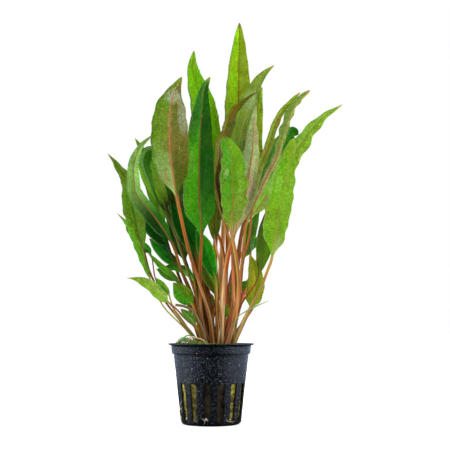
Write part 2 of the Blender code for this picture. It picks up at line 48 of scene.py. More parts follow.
# The camera that took the picture: its eye point, its upward tilt in degrees, its lens and sensor.
EYE = Vector((9.0, -600.0, 62.0))
CAMERA_TILT = 6.36
CAMERA_LENS = 73.2
SENSOR_WIDTH = 36.0
TO_FRONT = Vector((0.0, -1.0, 0.0))

# The pot.
POT_HEIGHT = 51.4
RIM_RADIUS = 27.8
COLLAR_TOP_RADIUS = 25.9
COLLAR_FOOT_RADIUS = 25.4
COLLAR_FOOT_Z = 44.8
BODY_TOP_RADIUS = 24.3
BASE_RADIUS = 19.5
BASE_ROUNDING = 2.2
WALL = 1.2
FLOOR = 1.4
SLOT_COUNT = 15
SLOT_PERIOD = 360.0 / SLOT_COUNT
FIRST_SLOT_ANGLE = -6.0
SLOT_TOP_WIDTH = 4.6
SLOT_FOOT_WIDTH = 3.4
SLOT_TOP_Z = 26.2
SLOT_FOOT_Z = 3.0
SLOT_CORNER = 0.9
FLOOR_SLOT_INNER = 8.25
FLOOR_SLOT_OUTER = 14.75
FLOOR_SLOT_WIDTH = 1.8
SLOT_HALF_ANGLE = 8.0
SLOT_MARGIN = 0.5
WORN_EDGE = 0.12

# The pot's grid: columns to a slot's period, those at the slot's sides, and the widest slot's angle.
POT_COLUMNS = 12
SLOT_COLUMNS = (3, 9)
WIDEST_HALF_ANGLE = 9.0
MERGE_DISTANCE = 0.0005

# The rim's outline, as (in from the rim, down from the top), and the step from the collar to the
# body, as (radius, height), like the inside's foot and collar. The floor's middle and edge are
# (radius, half width of a column).
RIM_OUTLINE = [
    (3.1, 0.7), (3.0, 0.52), (1.5, 0.58), (0.7, 0.45), (0.3, 0.2), (0.1, 0.02), (0.02, 0.04), (0.0, 0.2),
    (0.05, 0.55), (0.3, 0.85), (0.9, 1.05), (1.6, 1.15), (1.85, 1.4), (1.93, 2.4),
]
COLLAR_STEP = [
    (25.7, 47.0), (25.5, 45.6), (25.42, 45.05), (25.3, 44.85), (25.05, 44.8), (24.6, 44.8), (24.35, 44.72),
    (24.27, 44.4),
]
FLOOR_MIDDLE = [(6.5, 0.5), (3.0, 0.25), (0.0, 0.0)]
FLOOR_EDGE = (15.6, 0.6)
INNER_FOOT = [(17.4, FLOOR), (17.95, 1.6)]
INNER_COLLAR = (24.4, 47.5)
FOOT_ROW = 2.6
INNER_FOOT_ROW = 2.3
BODY_ROWS = (42.0, 39.0, 36.0, 33.0, 30.5, 28.5, 27.0)
INNER_ROWS = (28.0, 33.0, 38.0, 42.5)

# Water beads on the pot: none on the collar's step, and half as many below a height.
BEAD_COUNT = 2400
BEADLESS = (43.6, 45.4)
SPARSE_BELOW = 26.0

# The rock wool and the moss on it.
PLUG_TOP_Z = 45.5
PAD_FLAT_Z = 50.0
PAD_RADIUS = 23.2
CROWN_CENTRE = (4.0, 0.0)
CROWN_RADII = (15.0, 17.5)
MOSS_RISE = 4.4
MOSS_LUMPS = 0.8
MOSS_TOP = POT_HEIGHT + 4.6
MOUND_RAMP = 0.35
EDGE_RAMP = 4.0
WOOL_RINGS, WOOL_CORNERS = 60, 150
WOOL_GAP = 0.25
BED_RINGS = 14
BED_RING_WIDTH = 1.5
SHOOT_KINDS = 6
SHOOT_COUNT = 1300
FIBRES_IN_SLOT = 46

# The leaves are laid out on the front elevation, the plane y = 0, as seen from the eye point.
# Each leaf lies in a layer, from -4 (front) to 6 (back), and the layers fan out as they rise.
STALK_FOOT_Z = PAD_FLAT_Z + 0.3
STALK_SUNK = 1.5
LAYER_SPACING_FOOT = 2.5
LAYER_SPACING_RISE = 5.0
LAYER_SPACING_ARCH = 4.0
FAN_HEIGHT = 150.0

# A leaf's own measures. The side veins are shares of the way from the midrib to the margin, and
# the waves of each leaf start a phase step further on than those of the leaf before.
STALK_RADIUS = 1.1
FULL_STALK_WIDTH = 16.0
LEAST_STALK_SHARE = 0.65
BLADE_THICKNESS = 0.2
TIP_HALF_WIDTH = 0.16
SIDE_VEINS = (0.42, 0.72)
SIDE_VEIN_WIDTH = 0.05
PHASE_STEP = 2.4

# How fine the curves and the leaves' meshes are.
CURVE_STEPS = 12
STALK_RING_SPACING = 4.0
BLADE_RING_SPACING = 1.1
BROAD_WIDTH = 10.0
BROAD_CORNERS = 44
NARROW_CORNERS = 32


@dataclass
class Leaf:
    """One leaf: points from the crown to the tip, as (x, z) on the front elevation.

    Lean is how far the tip arches behind its layer, or in front of it if negative. Roll turns the
    blade from the front towards the right, and fold lifts its halves beside the midrib, both in
    degrees. Side is 1 where the upper side faces the front. Peak is where the blade is widest, as a
    share of its length, and a low taper keeps it broad with blunt ends. Ripple is the height of the
    waves along the margins, drawn is how far the tip narrows, and stout makes the stalk thicker or
    thinner.
    """

    name: str
    layer: float
    stalk: list
    blade: list
    width: float
    lean: float = 0.0
    roll: float = 0.0
    fold: float = 14.0
    side: int = 1
    peak: float = 0.45
    taper: float = 0.75
    ripple: float = 0.35
    ripple_length: float = 13.0
    drawn: float = 0.2
    stout: float = 1.0


@dataclass
class Look:
    """Colours of one leaf on its facing side, left and right of the midrib, from 0 to 255.

    The base colours give way to the others at base_reach along the blade, and far is the colour of
    the side that faces away. The veins take the rib's colour where they have none of their own. The
    flush lies in blotches on the blade, and streaked is the strength of the streaks on the stalk.
    A patch is (across, along, half width, half length, colour, strength); the pale patches are painted
    sheen and highlights.
    """

    left: tuple
    right: tuple
    rib: tuple
    stalk: tuple
    foot: tuple = (138, 74, 38)
    far: tuple = (84, 112, 52)
    base_left: tuple = None
    base_right: tuple = None
    base_reach: float = 0.3
    tip: tuple = (150, 120, 45)
    tip_from: float = 0.95
    vein: tuple = None
    veins: float = 0.3
    flush: tuple = (122, 96, 30)
    flushed: float = 0.15
    streaked: float = 0.45
    patches: list = field(default_factory=list)


# Leaves deep in the shade, whose dark colours are painted shade, have no flush, and hardly any streaks on
# the stalk.
SHADED = {"flushed": 0.0, "streaked": 0.1}

LEAVES = [
    Leaf("leaf_front_left_broad", -4.0, [(1, 50), (-1, 69), (-8, 91), (-15, 113)],
         [(-23, 148), (-27, 173), (-28, 197), (-26.6, 213), (-23.5, 222), (-20, 229)],
         23.4, lean=-10, side=-1, peak=0.43, taper=0.62, ripple=0.5, ripple_length=9, drawn=0.45),
    Leaf("leaf_front_centre_wavy", -4.0, [(10, 50), (16, 70), (18, 91), (16, 110)],
         [(13, 125), (13, 133), (14, 143), (14, 153), (13.5, 165), (13, 175), (10, 183), (7.5, 188)],
         17.5, lean=-6, roll=22, peak=0.47, taper=0.5, ripple=1.3, ripple_length=10, drawn=0.0),
    Leaf("leaf_front_right_broad", -4.0, [(13.3, 50), (22.4, 69), (31, 84), (37, 99)],
         [(40, 108), (44, 132), (49, 157), (51, 168), (53, 180), (55, 187)],
         19.0, lean=-14, roll=-30, peak=0.4, taper=0.52, ripple=0.6, ripple_length=10, stout=0.85),
    Leaf("leaf_low_striped", -4.0, [(-5, 50), (-8, 60)],
         [(-10, 63), (-13, 67), (-17, 71), (-20, 74)],
         6.0, lean=-2, peak=0.5),
    Leaf("leaf_tall_dark", -3.0, [(0, 50), (-5, 63), (-7, 80), (-7, 105)],
         [(-6.5, 122), (-8, 147), (-8, 173), (-7, 200), (-5, 220), (-1, 229)],
         20.2, lean=-4, roll=-6, peak=0.27, taper=0.57),
    Leaf("leaf_low_left_broad", -3.0, [(-3, 50), (-8, 62), (-10, 69)],
         [(-12, 76), (-16.5, 81), (-21, 86.5), (-25, 91)],
         11.0, lean=-6, peak=0.5),
    Leaf("leaf_low_left_pointed", -3.0, [(-5.5, 50), (-9.5, 60.5), (-17.3, 67.5), (-22.5, 73.5)],
         [(-27.5, 77.6), (-35, 84.4), (-41.5, 89.9), (-49, 93), (-55, 94)],
         7.6, lean=-18, roll=25, peak=0.35, ripple=0.7, ripple_length=11, drawn=0.5, stout=0.8),
    Leaf("leaf_right_pink", -3.0, [(12, 50), (18, 80), (21, 105), (25, 121)],
         [(27, 139), (32, 150), (36.5, 161), (42.5, 172), (46.3, 184), (50, 197), (53.5, 206), (59, 213.5),
          (66, 219.7)],
         6.0, lean=-10, roll=30, peak=0.62, taper=0.42, side=-1, ripple=1.2, ripple_length=9, drawn=0.0),
    Leaf("leaf_left_arched", -2.0, [(-3, 50), (-11, 77), (-19, 97)],
         [(-26, 117), (-38, 135), (-49, 149), (-51, 157), (-51.5, 168), (-49, 177), (-45.2, 183.5),
          (-38.5, 190)],
         13.4, lean=-14, roll=-35, peak=0.3, taper=0.8),
    Leaf("leaf_low_left_thin", -2.0, [(-5.6, 50), (-14, 60), (-24, 72)],
         [(-27.3, 82), (-31.5, 88.5), (-36.8, 94.5)],
         4.2, lean=-10, stout=0.7),
    Leaf("leaf_centre_diagonal", -2.0, [(2.3, 50), (4, 66), (4, 80)],
         [(3, 92), (0, 101), (-3, 110), (-6, 118), (-10, 126)],
         11.0, lean=-2, peak=0.55),
    Leaf("leaf_centre_right_grey", -2.0, [(5.9, 50), (7.2, 73), (10, 103)],
         [(14, 120), (17, 132), (21, 143), (24, 158), (27, 177), (28, 195), (30, 211)],
         15.0, lean=-4, roll=30, peak=0.36, side=-1, ripple=0.6, stout=1.5),
    Leaf("leaf_far_right_long", -1.8, [(10.6, 50), (14, 70), (18, 87), (20, 104), (22, 123)],
         [(24, 132), (31, 141), (40, 154), (51.5, 172), (58.5, 182), (66, 193), (76, 202.5), (87.5, 210)],
         12.5, lean=-6, roll=20, peak=0.38, ripple=1.4, ripple_length=14, drawn=0.2),
    Leaf("leaf_left_narrow", -1.0, [(-6, 50), (-17, 61), (-29, 72.5), (-35.2, 82)],
         [(-39, 91), (-47, 109), (-51, 119), (-55.5, 129), (-62, 136.5)],
         5.6, lean=-12, roll=45, ripple=0.6, ripple_length=9, stout=0.7),
    Leaf("leaf_left_strip", -1.0, [(-3.6, 50), (-11, 72), (-15.5, 85)],
         [(-20, 89), (-25.5, 95.6), (-31.5, 99.6), (-36.5, 104.8), (-42, 111)],
         4.8, lean=-6, roll=35),
    Leaf("leaf_left_folded", -1.0, [(-1, 50), (-8, 76), (-15, 97)],
         [(-26, 128), (-31, 138), (-36, 146), (-41, 157), (-45, 169), (-44, 176), (-41, 179), (-37, 177),
          (-34, 169)],
         12.0, roll=52, peak=0.76, taper=0.9),
    Leaf("leaf_centre_young", -1.0, [(7, 50), (8.3, 64)],
         [(8.5, 67), (10, 72), (11, 77)],
         4.0, peak=0.5),
    Leaf("leaf_low_centre", -1.0, [(3.5, 50), (4, 68)],
         [(2.7, 82), (1, 90), (-3, 98), (-7, 106)],
         9.0, peak=0.5),
    Leaf("leaf_twisted_brown", -1.0, [(10.6, 50), (16, 73), (17, 90), (15, 105), (12, 119)],
         [(8, 132), (5, 144), (3, 160), (5, 173), (6, 183), (10, 193), (13, 204), (19, 211), (26, 216),
          (31, 219)],
         13.0, lean=-2, roll=-45, side=-1),
    Leaf("leaf_right_dark_low", -1.0, [(13.7, 50), (19, 75), (27, 87)],
         [(31, 95), (33, 105), (35, 116), (36, 127), (36, 138)],
         11.0, peak=0.55, stout=0.8),
    Leaf("leaf_leaning_right", 0.0, [(8.5, 50), (12, 63), (14.5, 80), (14, 105), (14, 127)],
         [(14, 147), (15, 163), (18, 183), (22, 201), (27.5, 216), (33.5, 229), (42, 237)],
         15.0, lean=4, roll=25, side=-1, ripple=0.8),
    Leaf("leaf_far_left_wavy", 0.0, [(-6, 50), (-21, 67), (-31, 80), (-40, 97)],
         [(-44, 111), (-48, 123), (-51, 137), (-53, 145), (-55, 157), (-58.5, 163), (-64, 171),
          (-69, 176.5)],
         14.0, lean=-4, roll=-25, peak=0.3, ripple=1.0, ripple_length=11, stout=0.7),
    Leaf("leaf_left_level", 0.0, [(-2, 50), (-9, 77)],
         [(-11, 91), (-14, 97), (-18, 100), (-24, 102), (-29, 101), (-34, 100)],
         8.0, lean=2, roll=-50),
    Leaf("leaf_centre_olive", 0.0, [(4.6, 50), (6.3, 78), (5.5, 103)],
         [(2.5, 117), (2, 128), (2, 137), (1, 145)],
         9.0, peak=0.55),
    Leaf("leaf_right_folded", 0.0, [(11.3, 50), (15.5, 65), (19, 85), (21, 107)],
         [(23, 132), (26, 143), (29.6, 160), (32.4, 170), (37, 181), (40.6, 192), (45.6, 203.5),
          (52.4, 211.8), (59.5, 218.4)],
         7.0, lean=2, roll=42, peak=0.45, taper=0.5, drawn=0.0),
    Leaf("leaf_low_right_broad", 0.0, [(14.6, 50), (22, 65)],
         [(25.5, 73.5), (28.3, 84), (29.2, 92), (27.8, 101), (25, 110)],
         11.5, peak=0.36, ripple=0.6, ripple_length=8, stout=0.6),
    Leaf("leaf_back_left_tall", 1.0, [(5, 50), (9, 95), (7, 115), (3, 125), (0, 134)],
         [(-1, 141), (-2, 160), (-3, 180), (-6, 207), (-9.2, 219), (-12.8, 235), (-12, 247)],
         20.6, lean=6, roll=22, taper=0.7),
    Leaf("leaf_left_yellow", 1.0, [(0.3, 50), (-14, 97)],
         [(-29, 137), (-36, 152), (-40, 159), (-44, 165), (-50, 171)],
         12.0, lean=4, peak=0.5),
    Leaf("leaf_low_left_dark", 1.0, [(-2, 50), (-8, 70), (-16, 87)],
         [(-23, 92), (-29, 96), (-36, 100)],
         5.8, lean=2),
    Leaf("leaf_right_olive", 1.0, [(8.5, 50), (15, 90), (17, 107), (20, 125)],
         [(23, 137), (25.5, 153), (27, 173), (27.8, 190), (30.8, 207), (34, 222)],
         15.0, lean=-2, roll=-15),
    Leaf("leaf_left_shaded", 2.0, [(-2, 50), (-18, 87)],
         [(-28, 113), (-34, 121), (-41, 130), (-47, 139), (-52, 147)],
         12.0, lean=12),
    Leaf("leaf_inner_left", -0.5, [(1, 50), (-5, 87)],
         [(-9, 108), (-14, 120), (-20, 132), (-27, 145)],
         14.0, lean=4, stout=1.5),
    Leaf("leaf_tallest", 2.0, [(7, 50), (9.3, 80), (10, 97), (10.4, 113), (10.6, 127)],
         [(13, 143), (16, 167), (18, 193), (18.2, 213), (18.5, 240), (18.8, 266.5)],
         19.0, lean=-6, roll=-15, taper=0.68, drawn=0.0),
    Leaf("leaf_right_recurved", 2.0, [(12.6, 50), (15, 80), (18, 105)],
         [(21, 127), (31, 155), (36, 165), (43.5, 177), (49.5, 186.5), (54, 191.5), (58, 189.5)],
         15.0, lean=6, roll=25, peak=0.7, taper=0.45),
    Leaf("leaf_inner_centre", 3.0, [(2, 50), (-4, 80)],
         [(-10, 104), (-13, 117), (-16, 131), (-17, 144)],
         12.0, stout=1.8),
    Leaf("leaf_left_small", 3.0, [(-6.6, 50), (-18.5, 66), (-29.5, 80.5), (-36.5, 93)],
         [(-39.5, 109), (-45, 114.5), (-51.5, 118.5)],
         6.4, lean=10, peak=0.5, stout=0.6),
    Leaf("leaf_left_inner_dark", 3.0, [(-2, 50), (-11, 80)],
         [(-21, 101), (-28, 107), (-34, 113), (-41, 120)],
         8.6, lean=10),
    Leaf("leaf_right_blue_green", 3.9, [(8.5, 50), (20, 64), (27, 74), (31.5, 84), (31, 96)],
         [(26, 108), (25, 116), (27, 127), (32, 139)],
         8.5, roll=-20),
    Leaf("leaf_behind_front_right", 3.0, [(12.2, 50), (19, 76), (26, 94), (32, 112), (35, 125)],
         [(40, 143), (44, 158), (48, 174)],
         13.0, lean=10),
    Leaf("leaf_behind_bundle", 4.2, [(5, 50), (10, 73)],
         [(13, 81), (19, 87), (26, 93)],
         7.0, roll=-30),
    Leaf("leaf_back_centre_tall", 4.0, [(1, 50), (0, 67), (4, 80), (6, 97), (8, 128)],
         [(9, 145), (11, 165), (12, 185), (10, 203)],
         15.0, lean=14, stout=1.6),
    Leaf("leaf_back_left_high", 4.0, [(-2.5, 50), (-9, 90), (-15, 120)],
         [(-19, 128), (-23, 143), (-26, 163), (-27, 185), (-26, 205)],
         15.0, lean=20, peak=0.35, stout=1.9),
    Leaf("leaf_back_left_tip", 4.0, [(-6, 50), (-19, 88), (-25, 105)],
         [(-31, 125), (-37, 148), (-42, 167), (-47, 180), (-51, 187)],
         12.0, lean=22, roll=20),
    Leaf("leaf_back_edge_on", 5.0, [(7.5, 50), (11, 84)],
         [(16, 106), (21, 110), (26, 115), (31, 120), (35, 128)],
         8.0, lean=12, roll=65, stout=1.5),
    Leaf("leaf_back_left_low", 5.0, [(-1, 50), (-8, 75), (-13, 92)],
         [(-17, 104), (-20, 118), (-24, 132), (-30, 146)],
         14.0, lean=26),
    Leaf("leaf_back_centre_low", 3.0, [(5, 50), (4, 75), (2.5, 105)],
         [(3, 126), (3, 140), (4, 154), (6, 168)],
         13.0, lean=5, stout=1.7),
    Leaf("leaf_back_right_low", 5.0, [(11, 50), (18, 78), (28, 100)],
         [(36, 116), (43, 128), (50, 137)],
         12.0, lean=30, roll=-15),
    Leaf("leaf_back_far", 5.0, [(2, 50), (-2, 84), (-6, 105)],
         [(-8, 120), (-10, 142), (-10, 163), (-6, 184)],
         15.0, lean=34, roll=10, stout=1.5),
    Leaf("leaf_back_low_left", 5.9, [(0.2, 50), (1, 62)],
         [(1, 72), (-3, 82), (-8, 88)],
         9.0, lean=38, roll=15, peak=0.5),
    Leaf("leaf_back_low_right", 5.9, [(5, 50), (7, 63)],
         [(10, 73), (12, 84), (13, 92)],
         9.0, lean=34, roll=-20, peak=0.5),
]

# The darkest colours here are painted shade: the halves turned from the light, the leaves deep in the clump
# with their black bases and tips, and the dark feet of the stout back stalks, which fill gaps in the
# bundle.
LOOKS = {
    "leaf_front_left_broad": Look(
        (80, 118, 24), (80, 94, 28), (140, 86, 48), (122, 86, 38), (96, 62, 24), far=(62, 98, 20),
        base_left=(114, 146, 80), base_right=(68, 84, 18), base_reach=0.32, tip=(92, 128, 24),
        tip_from=0.92, vein=(116, 66, 40), veins=0.55, flush=(118, 88, 44), flushed=0.35,
        patches=[(0.1, 0.83, 1.1, 0.08, (158, 166, 140), 0.6),
                 (0.75, 0.66, 0.35, 0.2, (150, 158, 128), 0.55),
                 (0.0, 0.5, 0.3, 0.4, (120, 84, 48), 0.4), (-0.6, 0.05, 0.6, 0.12, (126, 158, 84), 0.5)]),
    "leaf_front_centre_wavy": Look(
        (62, 128, 12), (86, 134, 18), (122, 112, 46), (138, 118, 60), (160, 92, 46), far=(90, 124, 52),
        base_left=(86, 130, 28), base_right=(104, 128, 44), tip=(48, 108, 14), tip_from=0.92,
        vein=(104, 142, 50), veins=0.35, flushed=0.2,
        patches=[(-0.5, 0.62, 0.3, 0.07, (140, 176, 104), 0.5),
                 (0.6, 0.45, 0.3, 0.25, (112, 150, 52), 0.5)]),
    "leaf_front_right_broad": Look(
        (97, 150, 24), (101, 145, 28), (128, 130, 46), (146, 136, 62), (152, 124, 74), far=(116, 136, 70),
        tip=(114, 154, 28), vein=(84, 132, 22), flushed=0.2,
        patches=[(0.5, 0.1, 0.6, 0.12, (140, 156, 100), 0.5), (-0.4, 0.6, 0.3, 0.1, (132, 172, 76), 0.4)]),
    "leaf_low_striped": Look((72, 106, 34), (56, 110, 18), (118, 140, 74), (103, 120, 36), veins=0.6),
    "leaf_tall_dark": Look(
        (68, 150, 15), (26, 76, 9), (112, 76, 44), (96, 78, 30), (104, 60, 28), far=(80, 102, 52),
        base_left=(48, 122, 9), base_right=(46, 108, 9), base_reach=0.2, tip=(124, 150, 36),
        vein=(26, 84, 12), flushed=0.06,
        patches=[(-0.6, 0.82, 0.9, 0.3, (36, 92, 30), 0.9),
                 (-0.55, 0.46, 0.35, 0.12, (104, 160, 50), 0.6)]),
    "leaf_low_left_broad": Look(
        (58, 124, 15), (76, 106, 19), (70, 116, 24), (150, 116, 40), base_left=(52, 132, 17),
        base_right=(48, 116, 12)),
    "leaf_low_left_pointed": Look(
        (112, 160, 28), (116, 148, 54), (132, 150, 60), (124, 75, 43), (106, 56, 22),
        base_left=(120, 170, 40), base_right=(132, 172, 74), tip=(110, 150, 44)),
    "leaf_right_pink": Look(
        (92, 128, 50), (118, 142, 62), (140, 84, 50), (122, 80, 44), (118, 74, 36), far=(80, 112, 32),
        base_left=(142, 130, 88), base_right=(148, 148, 90), base_reach=0.42, tip=(196, 128, 42)),
    "leaf_left_arched": Look(
        (99, 136, 60), (110, 154, 68), (118, 82, 50), (96, 68, 28), (106, 58, 22), far=(66, 102, 44),
        base_left=(9, 54, 2), base_right=(30, 84, 3), base_reach=0.42, tip=(84, 120, 50),
        veins=0.1, **SHADED),
    "leaf_low_left_thin": Look((80, 150, 30), (90, 158, 36), (104, 152, 44), (150, 176, 84), (98, 88, 32)),
    "leaf_centre_diagonal": Look(
        (12, 94, 6), (34, 122, 12), (34, 96, 12), (148, 120, 55), (104, 56, 20),
        patches=[(1.0, 0.45, 0.28, 0.6, (100, 160, 36), 0.8)], **SHADED),
    "leaf_centre_right_grey": Look(
        (134, 160, 100), (146, 158, 98), (158, 92, 60), (150, 108, 58), (232, 196, 140), far=(62, 104, 32),
        base_left=(112, 136, 84), base_right=(160, 156, 104), base_reach=0.4, tip=(78, 106, 70),
        vein=(128, 120, 76), flush=(150, 110, 84), flushed=0.4, streaked=0.8),
    "leaf_far_right_long": Look(
        (106, 150, 44), (108, 148, 38), (136, 132, 58), (136, 108, 44), (164, 100, 52), far=(100, 134, 60),
        base_left=(108, 162, 52), base_right=(122, 148, 60), tip=(188, 132, 45), tip_from=0.94,
        patches=[(-0.3, 0.4, 0.6, 0.12, (146, 172, 112), 0.5)]),
    "leaf_left_narrow": Look(
        (90, 178, 14), (94, 148, 34), (108, 160, 44), (150, 152, 76), (162, 168, 72), flushed=0.1),
    "leaf_left_strip": Look((74, 146, 24), (76, 134, 32), (84, 124, 34), (128, 112, 52)),
    "leaf_left_folded": Look(
        (112, 166, 76), (62, 122, 20), (50, 82, 30), (80, 92, 42), (118, 80, 34), far=(50, 86, 40),
        base_left=(36, 64, 14), base_right=(12, 48, 5), tip=(66, 104, 60), **SHADED),
    "leaf_centre_young": Look((98, 150, 30), (110, 152, 36), (118, 140, 44), (160, 116, 70)),
    "leaf_low_centre": Look(
        (60, 78, 15), (72, 136, 18), (76, 90, 26), (150, 96, 46), (180, 130, 80), base_left=(62, 72, 13),
        base_right=(62, 130, 26)),
    "leaf_twisted_brown": Look(
        (98, 108, 27), (68, 84, 14), (122, 72, 28), (164, 128, 66), (156, 74, 40), far=(66, 76, 22),
        base_left=(92, 102, 24), base_right=(46, 40, 11), base_reach=0.4, tip=(70, 88, 20), tip_from=0.9,
        vein=(96, 66, 30), flush=(128, 82, 24), flushed=0.4,
        patches=[(0.0, 0.52, 0.5, 0.12, (152, 130, 96), 0.5), (0.3, 0.78, 0.4, 0.12, (128, 88, 26), 0.35)]),
    "leaf_right_dark_low": Look((58, 86, 10), (68, 110, 11), (70, 80, 20), (83, 75, 26), (114, 84, 35)),
    "leaf_leaning_right": Look(
        (102, 136, 44), (95, 127, 34), (132, 128, 60), (170, 86, 44), (232, 158, 104), far=(84, 126, 30),
        base_left=(60, 96, 26), base_right=(32, 52, 8), base_reach=0.3, tip=(172, 114, 24), tip_from=0.94,
        patches=[(0.0, 0.7, 1.0, 0.1, (142, 160, 108), 0.5)]),
    "leaf_far_left_wavy": Look(
        (72, 112, 14), (67, 110, 12), (72, 62, 22), (52, 34, 22), (112, 74, 44), tip=(116, 106, 34),
        tip_from=0.9, vein=(50, 70, 14)),
    "leaf_left_level": Look(
        (50, 124, 24), (42, 94, 22), (66, 104, 26), (128, 106, 32), base_left=(104, 186, 66),
        base_right=(36, 118, 9)),
    "leaf_centre_olive": Look((74, 98, 14), (62, 80, 14), (84, 66, 28), (196, 156, 100), (236, 184, 112)),
    "leaf_right_folded": Look(
        (114, 142, 23), (94, 122, 22), (140, 122, 50), (118, 80, 40), (148, 100, 56), far=(100, 118, 60),
        base_left=(110, 132, 32), base_right=(126, 142, 70), tip=(196, 106, 34), tip_from=0.96,
        flush=(150, 84, 36), flushed=0.45),
    "leaf_low_right_broad": Look(
        (144, 150, 27), (113, 141, 22), (138, 130, 48), (136, 124, 54), (138, 120, 56), tip=(228, 150, 42),
        tip_from=0.88, base_left=(104, 128, 13), base_right=(120, 143, 28), flushed=0.3),
    "leaf_back_left_tall": Look(
        (106, 172, 11), (96, 156, 12), (108, 92, 22), (178, 112, 58), (232, 176, 118), tip=(92, 110, 16),
        tip_from=0.97, vein=(78, 134, 10), flushed=0.2, streaked=0.6),
    # Its near-black base is painted shadow.
    "leaf_left_yellow": Look(
        (112, 178, 20), (98, 134, 33), (100, 132, 34), (48, 62, 17), (100, 62, 18), base_left=(12, 22, 4),
        base_right=(6, 14, 2), base_reach=0.25, **SHADED),
    "leaf_low_left_dark": Look((62, 140, 28), (30, 98, 9), (52, 96, 22), (110, 62, 34)),
    "leaf_right_olive": Look(
        (116, 142, 24), (136, 172, 28), (120, 124, 34), (100, 92, 42), (206, 116, 66), tip=(114, 102, 16),
        tip_from=0.96, vein=(66, 108, 12), veins=0.45, flushed=0.35),
    "leaf_left_shaded": Look((5, 62, 3), (5, 68, 3), (18, 54, 8), (26, 56, 8), (90, 62, 26), **SHADED),
    # Its near-black tip is painted shadow.
    "leaf_inner_left": Look(
        (6, 66, 4), (12, 82, 8), (22, 62, 10), (84, 72, 20), (84, 40, 12), base_left=(9, 84, 6),
        base_right=(10, 86, 6), tip=(12, 12, 4), tip_from=0.82, **SHADED),
    "leaf_tallest": Look(
        (119, 174, 14), (110, 134, 13), (112, 74, 24), (176, 92, 40), (222, 142, 84), tip=(94, 104, 18),
        tip_from=0.96, vein=(90, 116, 14), veins=0.35, flushed=0.25),
    "leaf_right_recurved": Look(
        (36, 98, 11), (42, 104, 10), (50, 92, 20), (84, 36, 18), (138, 76, 36), base_left=(78, 110, 92),
        base_right=(54, 106, 50), base_reach=0.35, tip=(32, 94, 12)),
    "leaf_inner_centre": Look((9, 72, 5), (12, 78, 6), (24, 58, 10), (82, 44, 14), (96, 40, 20), **SHADED),
    "leaf_left_small": Look((28, 104, 20), (34, 118, 22), (46, 104, 22), (40, 40, 14)),
    "leaf_left_inner_dark": Look((27, 118, 15), (10, 80, 5), (30, 76, 12), (112, 66, 36), **SHADED),
    "leaf_right_blue_green": Look(
        (58, 122, 29), (74, 138, 29), (58, 104, 38), (86, 76, 34), (130, 110, 60),
        base_right=(120, 176, 96)),
    "leaf_behind_front_right": Look(
        (80, 132, 40), (88, 142, 50), (106, 114, 46), (206, 100, 58), (206, 100, 54)),
    "leaf_behind_bundle": Look((84, 178, 36), (80, 184, 28), (80, 144, 40), (110, 88, 48)),
    "leaf_back_centre_tall": Look(
        (72, 128, 18), (56, 110, 15), (84, 92, 24), (206, 176, 112), (186, 116, 54)),
    "leaf_back_left_high": Look(
        (66, 120, 20), (56, 108, 16), (74, 86, 22), (64, 68, 15), (86, 44, 20), base_left=(28, 44, 8),
        base_right=(42, 60, 10), base_reach=0.36, **SHADED),
    "leaf_back_left_tip": Look(
        (80, 146, 19), (85, 138, 30), (98, 108, 30), (120, 84, 44), tip=(164, 140, 50)),
    "leaf_back_edge_on": Look((30, 98, 16), (38, 112, 18), (48, 86, 20), (120, 60, 34), (104, 46, 26)),
    "leaf_back_left_low": Look((32, 66, 12), (26, 80, 10), (50, 66, 18), (120, 74, 40)),
    "leaf_back_centre_low": Look(
        (20, 72, 10), (22, 80, 11), (36, 64, 15), (136, 50, 24), (122, 40, 18), **SHADED),
    "leaf_back_right_low": Look((56, 118, 22), (64, 126, 26), (84, 100, 30), (140, 82, 44)),
    "leaf_back_far": Look((88, 148, 18), (78, 138, 16), (102, 100, 28), (82, 48, 22), (92, 40, 20)),
    "leaf_back_low_left": Look((58, 110, 16), (66, 100, 18), (84, 100, 26), (140, 90, 50)),
    "leaf_back_low_right": Look((82, 140, 24), (90, 148, 28), (102, 120, 34), (146, 96, 54)),
}

# Small growth: piece, node, slot, points (x, y, rise above the moss), radii, flatness, dark and light.
STEMS = [
    ("pale_runner", "runner", "leaf_pale",
     [(-14, -14, 0.3), (-12.5, -14.3, 2.3), (-9, -15, 3.4), (-5, -15.5, 3.2), (-2, -15.5, 0.6)],
     [0.42, 0.45, 0.4], 1.0, (172, 130, 92), (226, 198, 162)),
    ("grass_left_arched", "grass_blade_left", "leaf_green",
     [(-19, -9, 0.3), (-17, -9.5, 2.2), (-14, -10, 3.4), (-10.5, -10.5, 3.4)],
     [0.35, 0.45, 0.12], 0.4, (40, 130, 50), (90, 190, 90)),
    ("grass_right_bent", "grass_blade_right", "leaf_bright",
     [(14.8, -11.8, 0.5), (15, -15.5, 9), (16, -18, 17), (24, -18, 22.8), (36.5, -18, 28.5)],
     [0.14, 0.16, 0.3, 0.5, 0.12], 0.4, (70, 120, 34), (124, 164, 74)),
    ("stub_left", "cut_stalk_left", "leaf_olive",
     [(-2.5, -11.5, 0.5), (-5, -13, 10), (-10.3, -14.5, 20.7), (-16, -15.5, 24.7), (-22.5, -16.5, 26)],
     [0.9, 0.8, 0.8, 0.85], 0.9, (76, 62, 22), (114, 96, 40)),
    ("stub_right", "cut_stalk_right", "leaf_brown",
     [(10.8, -12.6, 0.5), (13.3, -14.6, 11), (16.6, -15.6, 16.5)],
     [0.9, 0.8, 0.9], 0.9, (96, 62, 34), (140, 104, 60)),
]

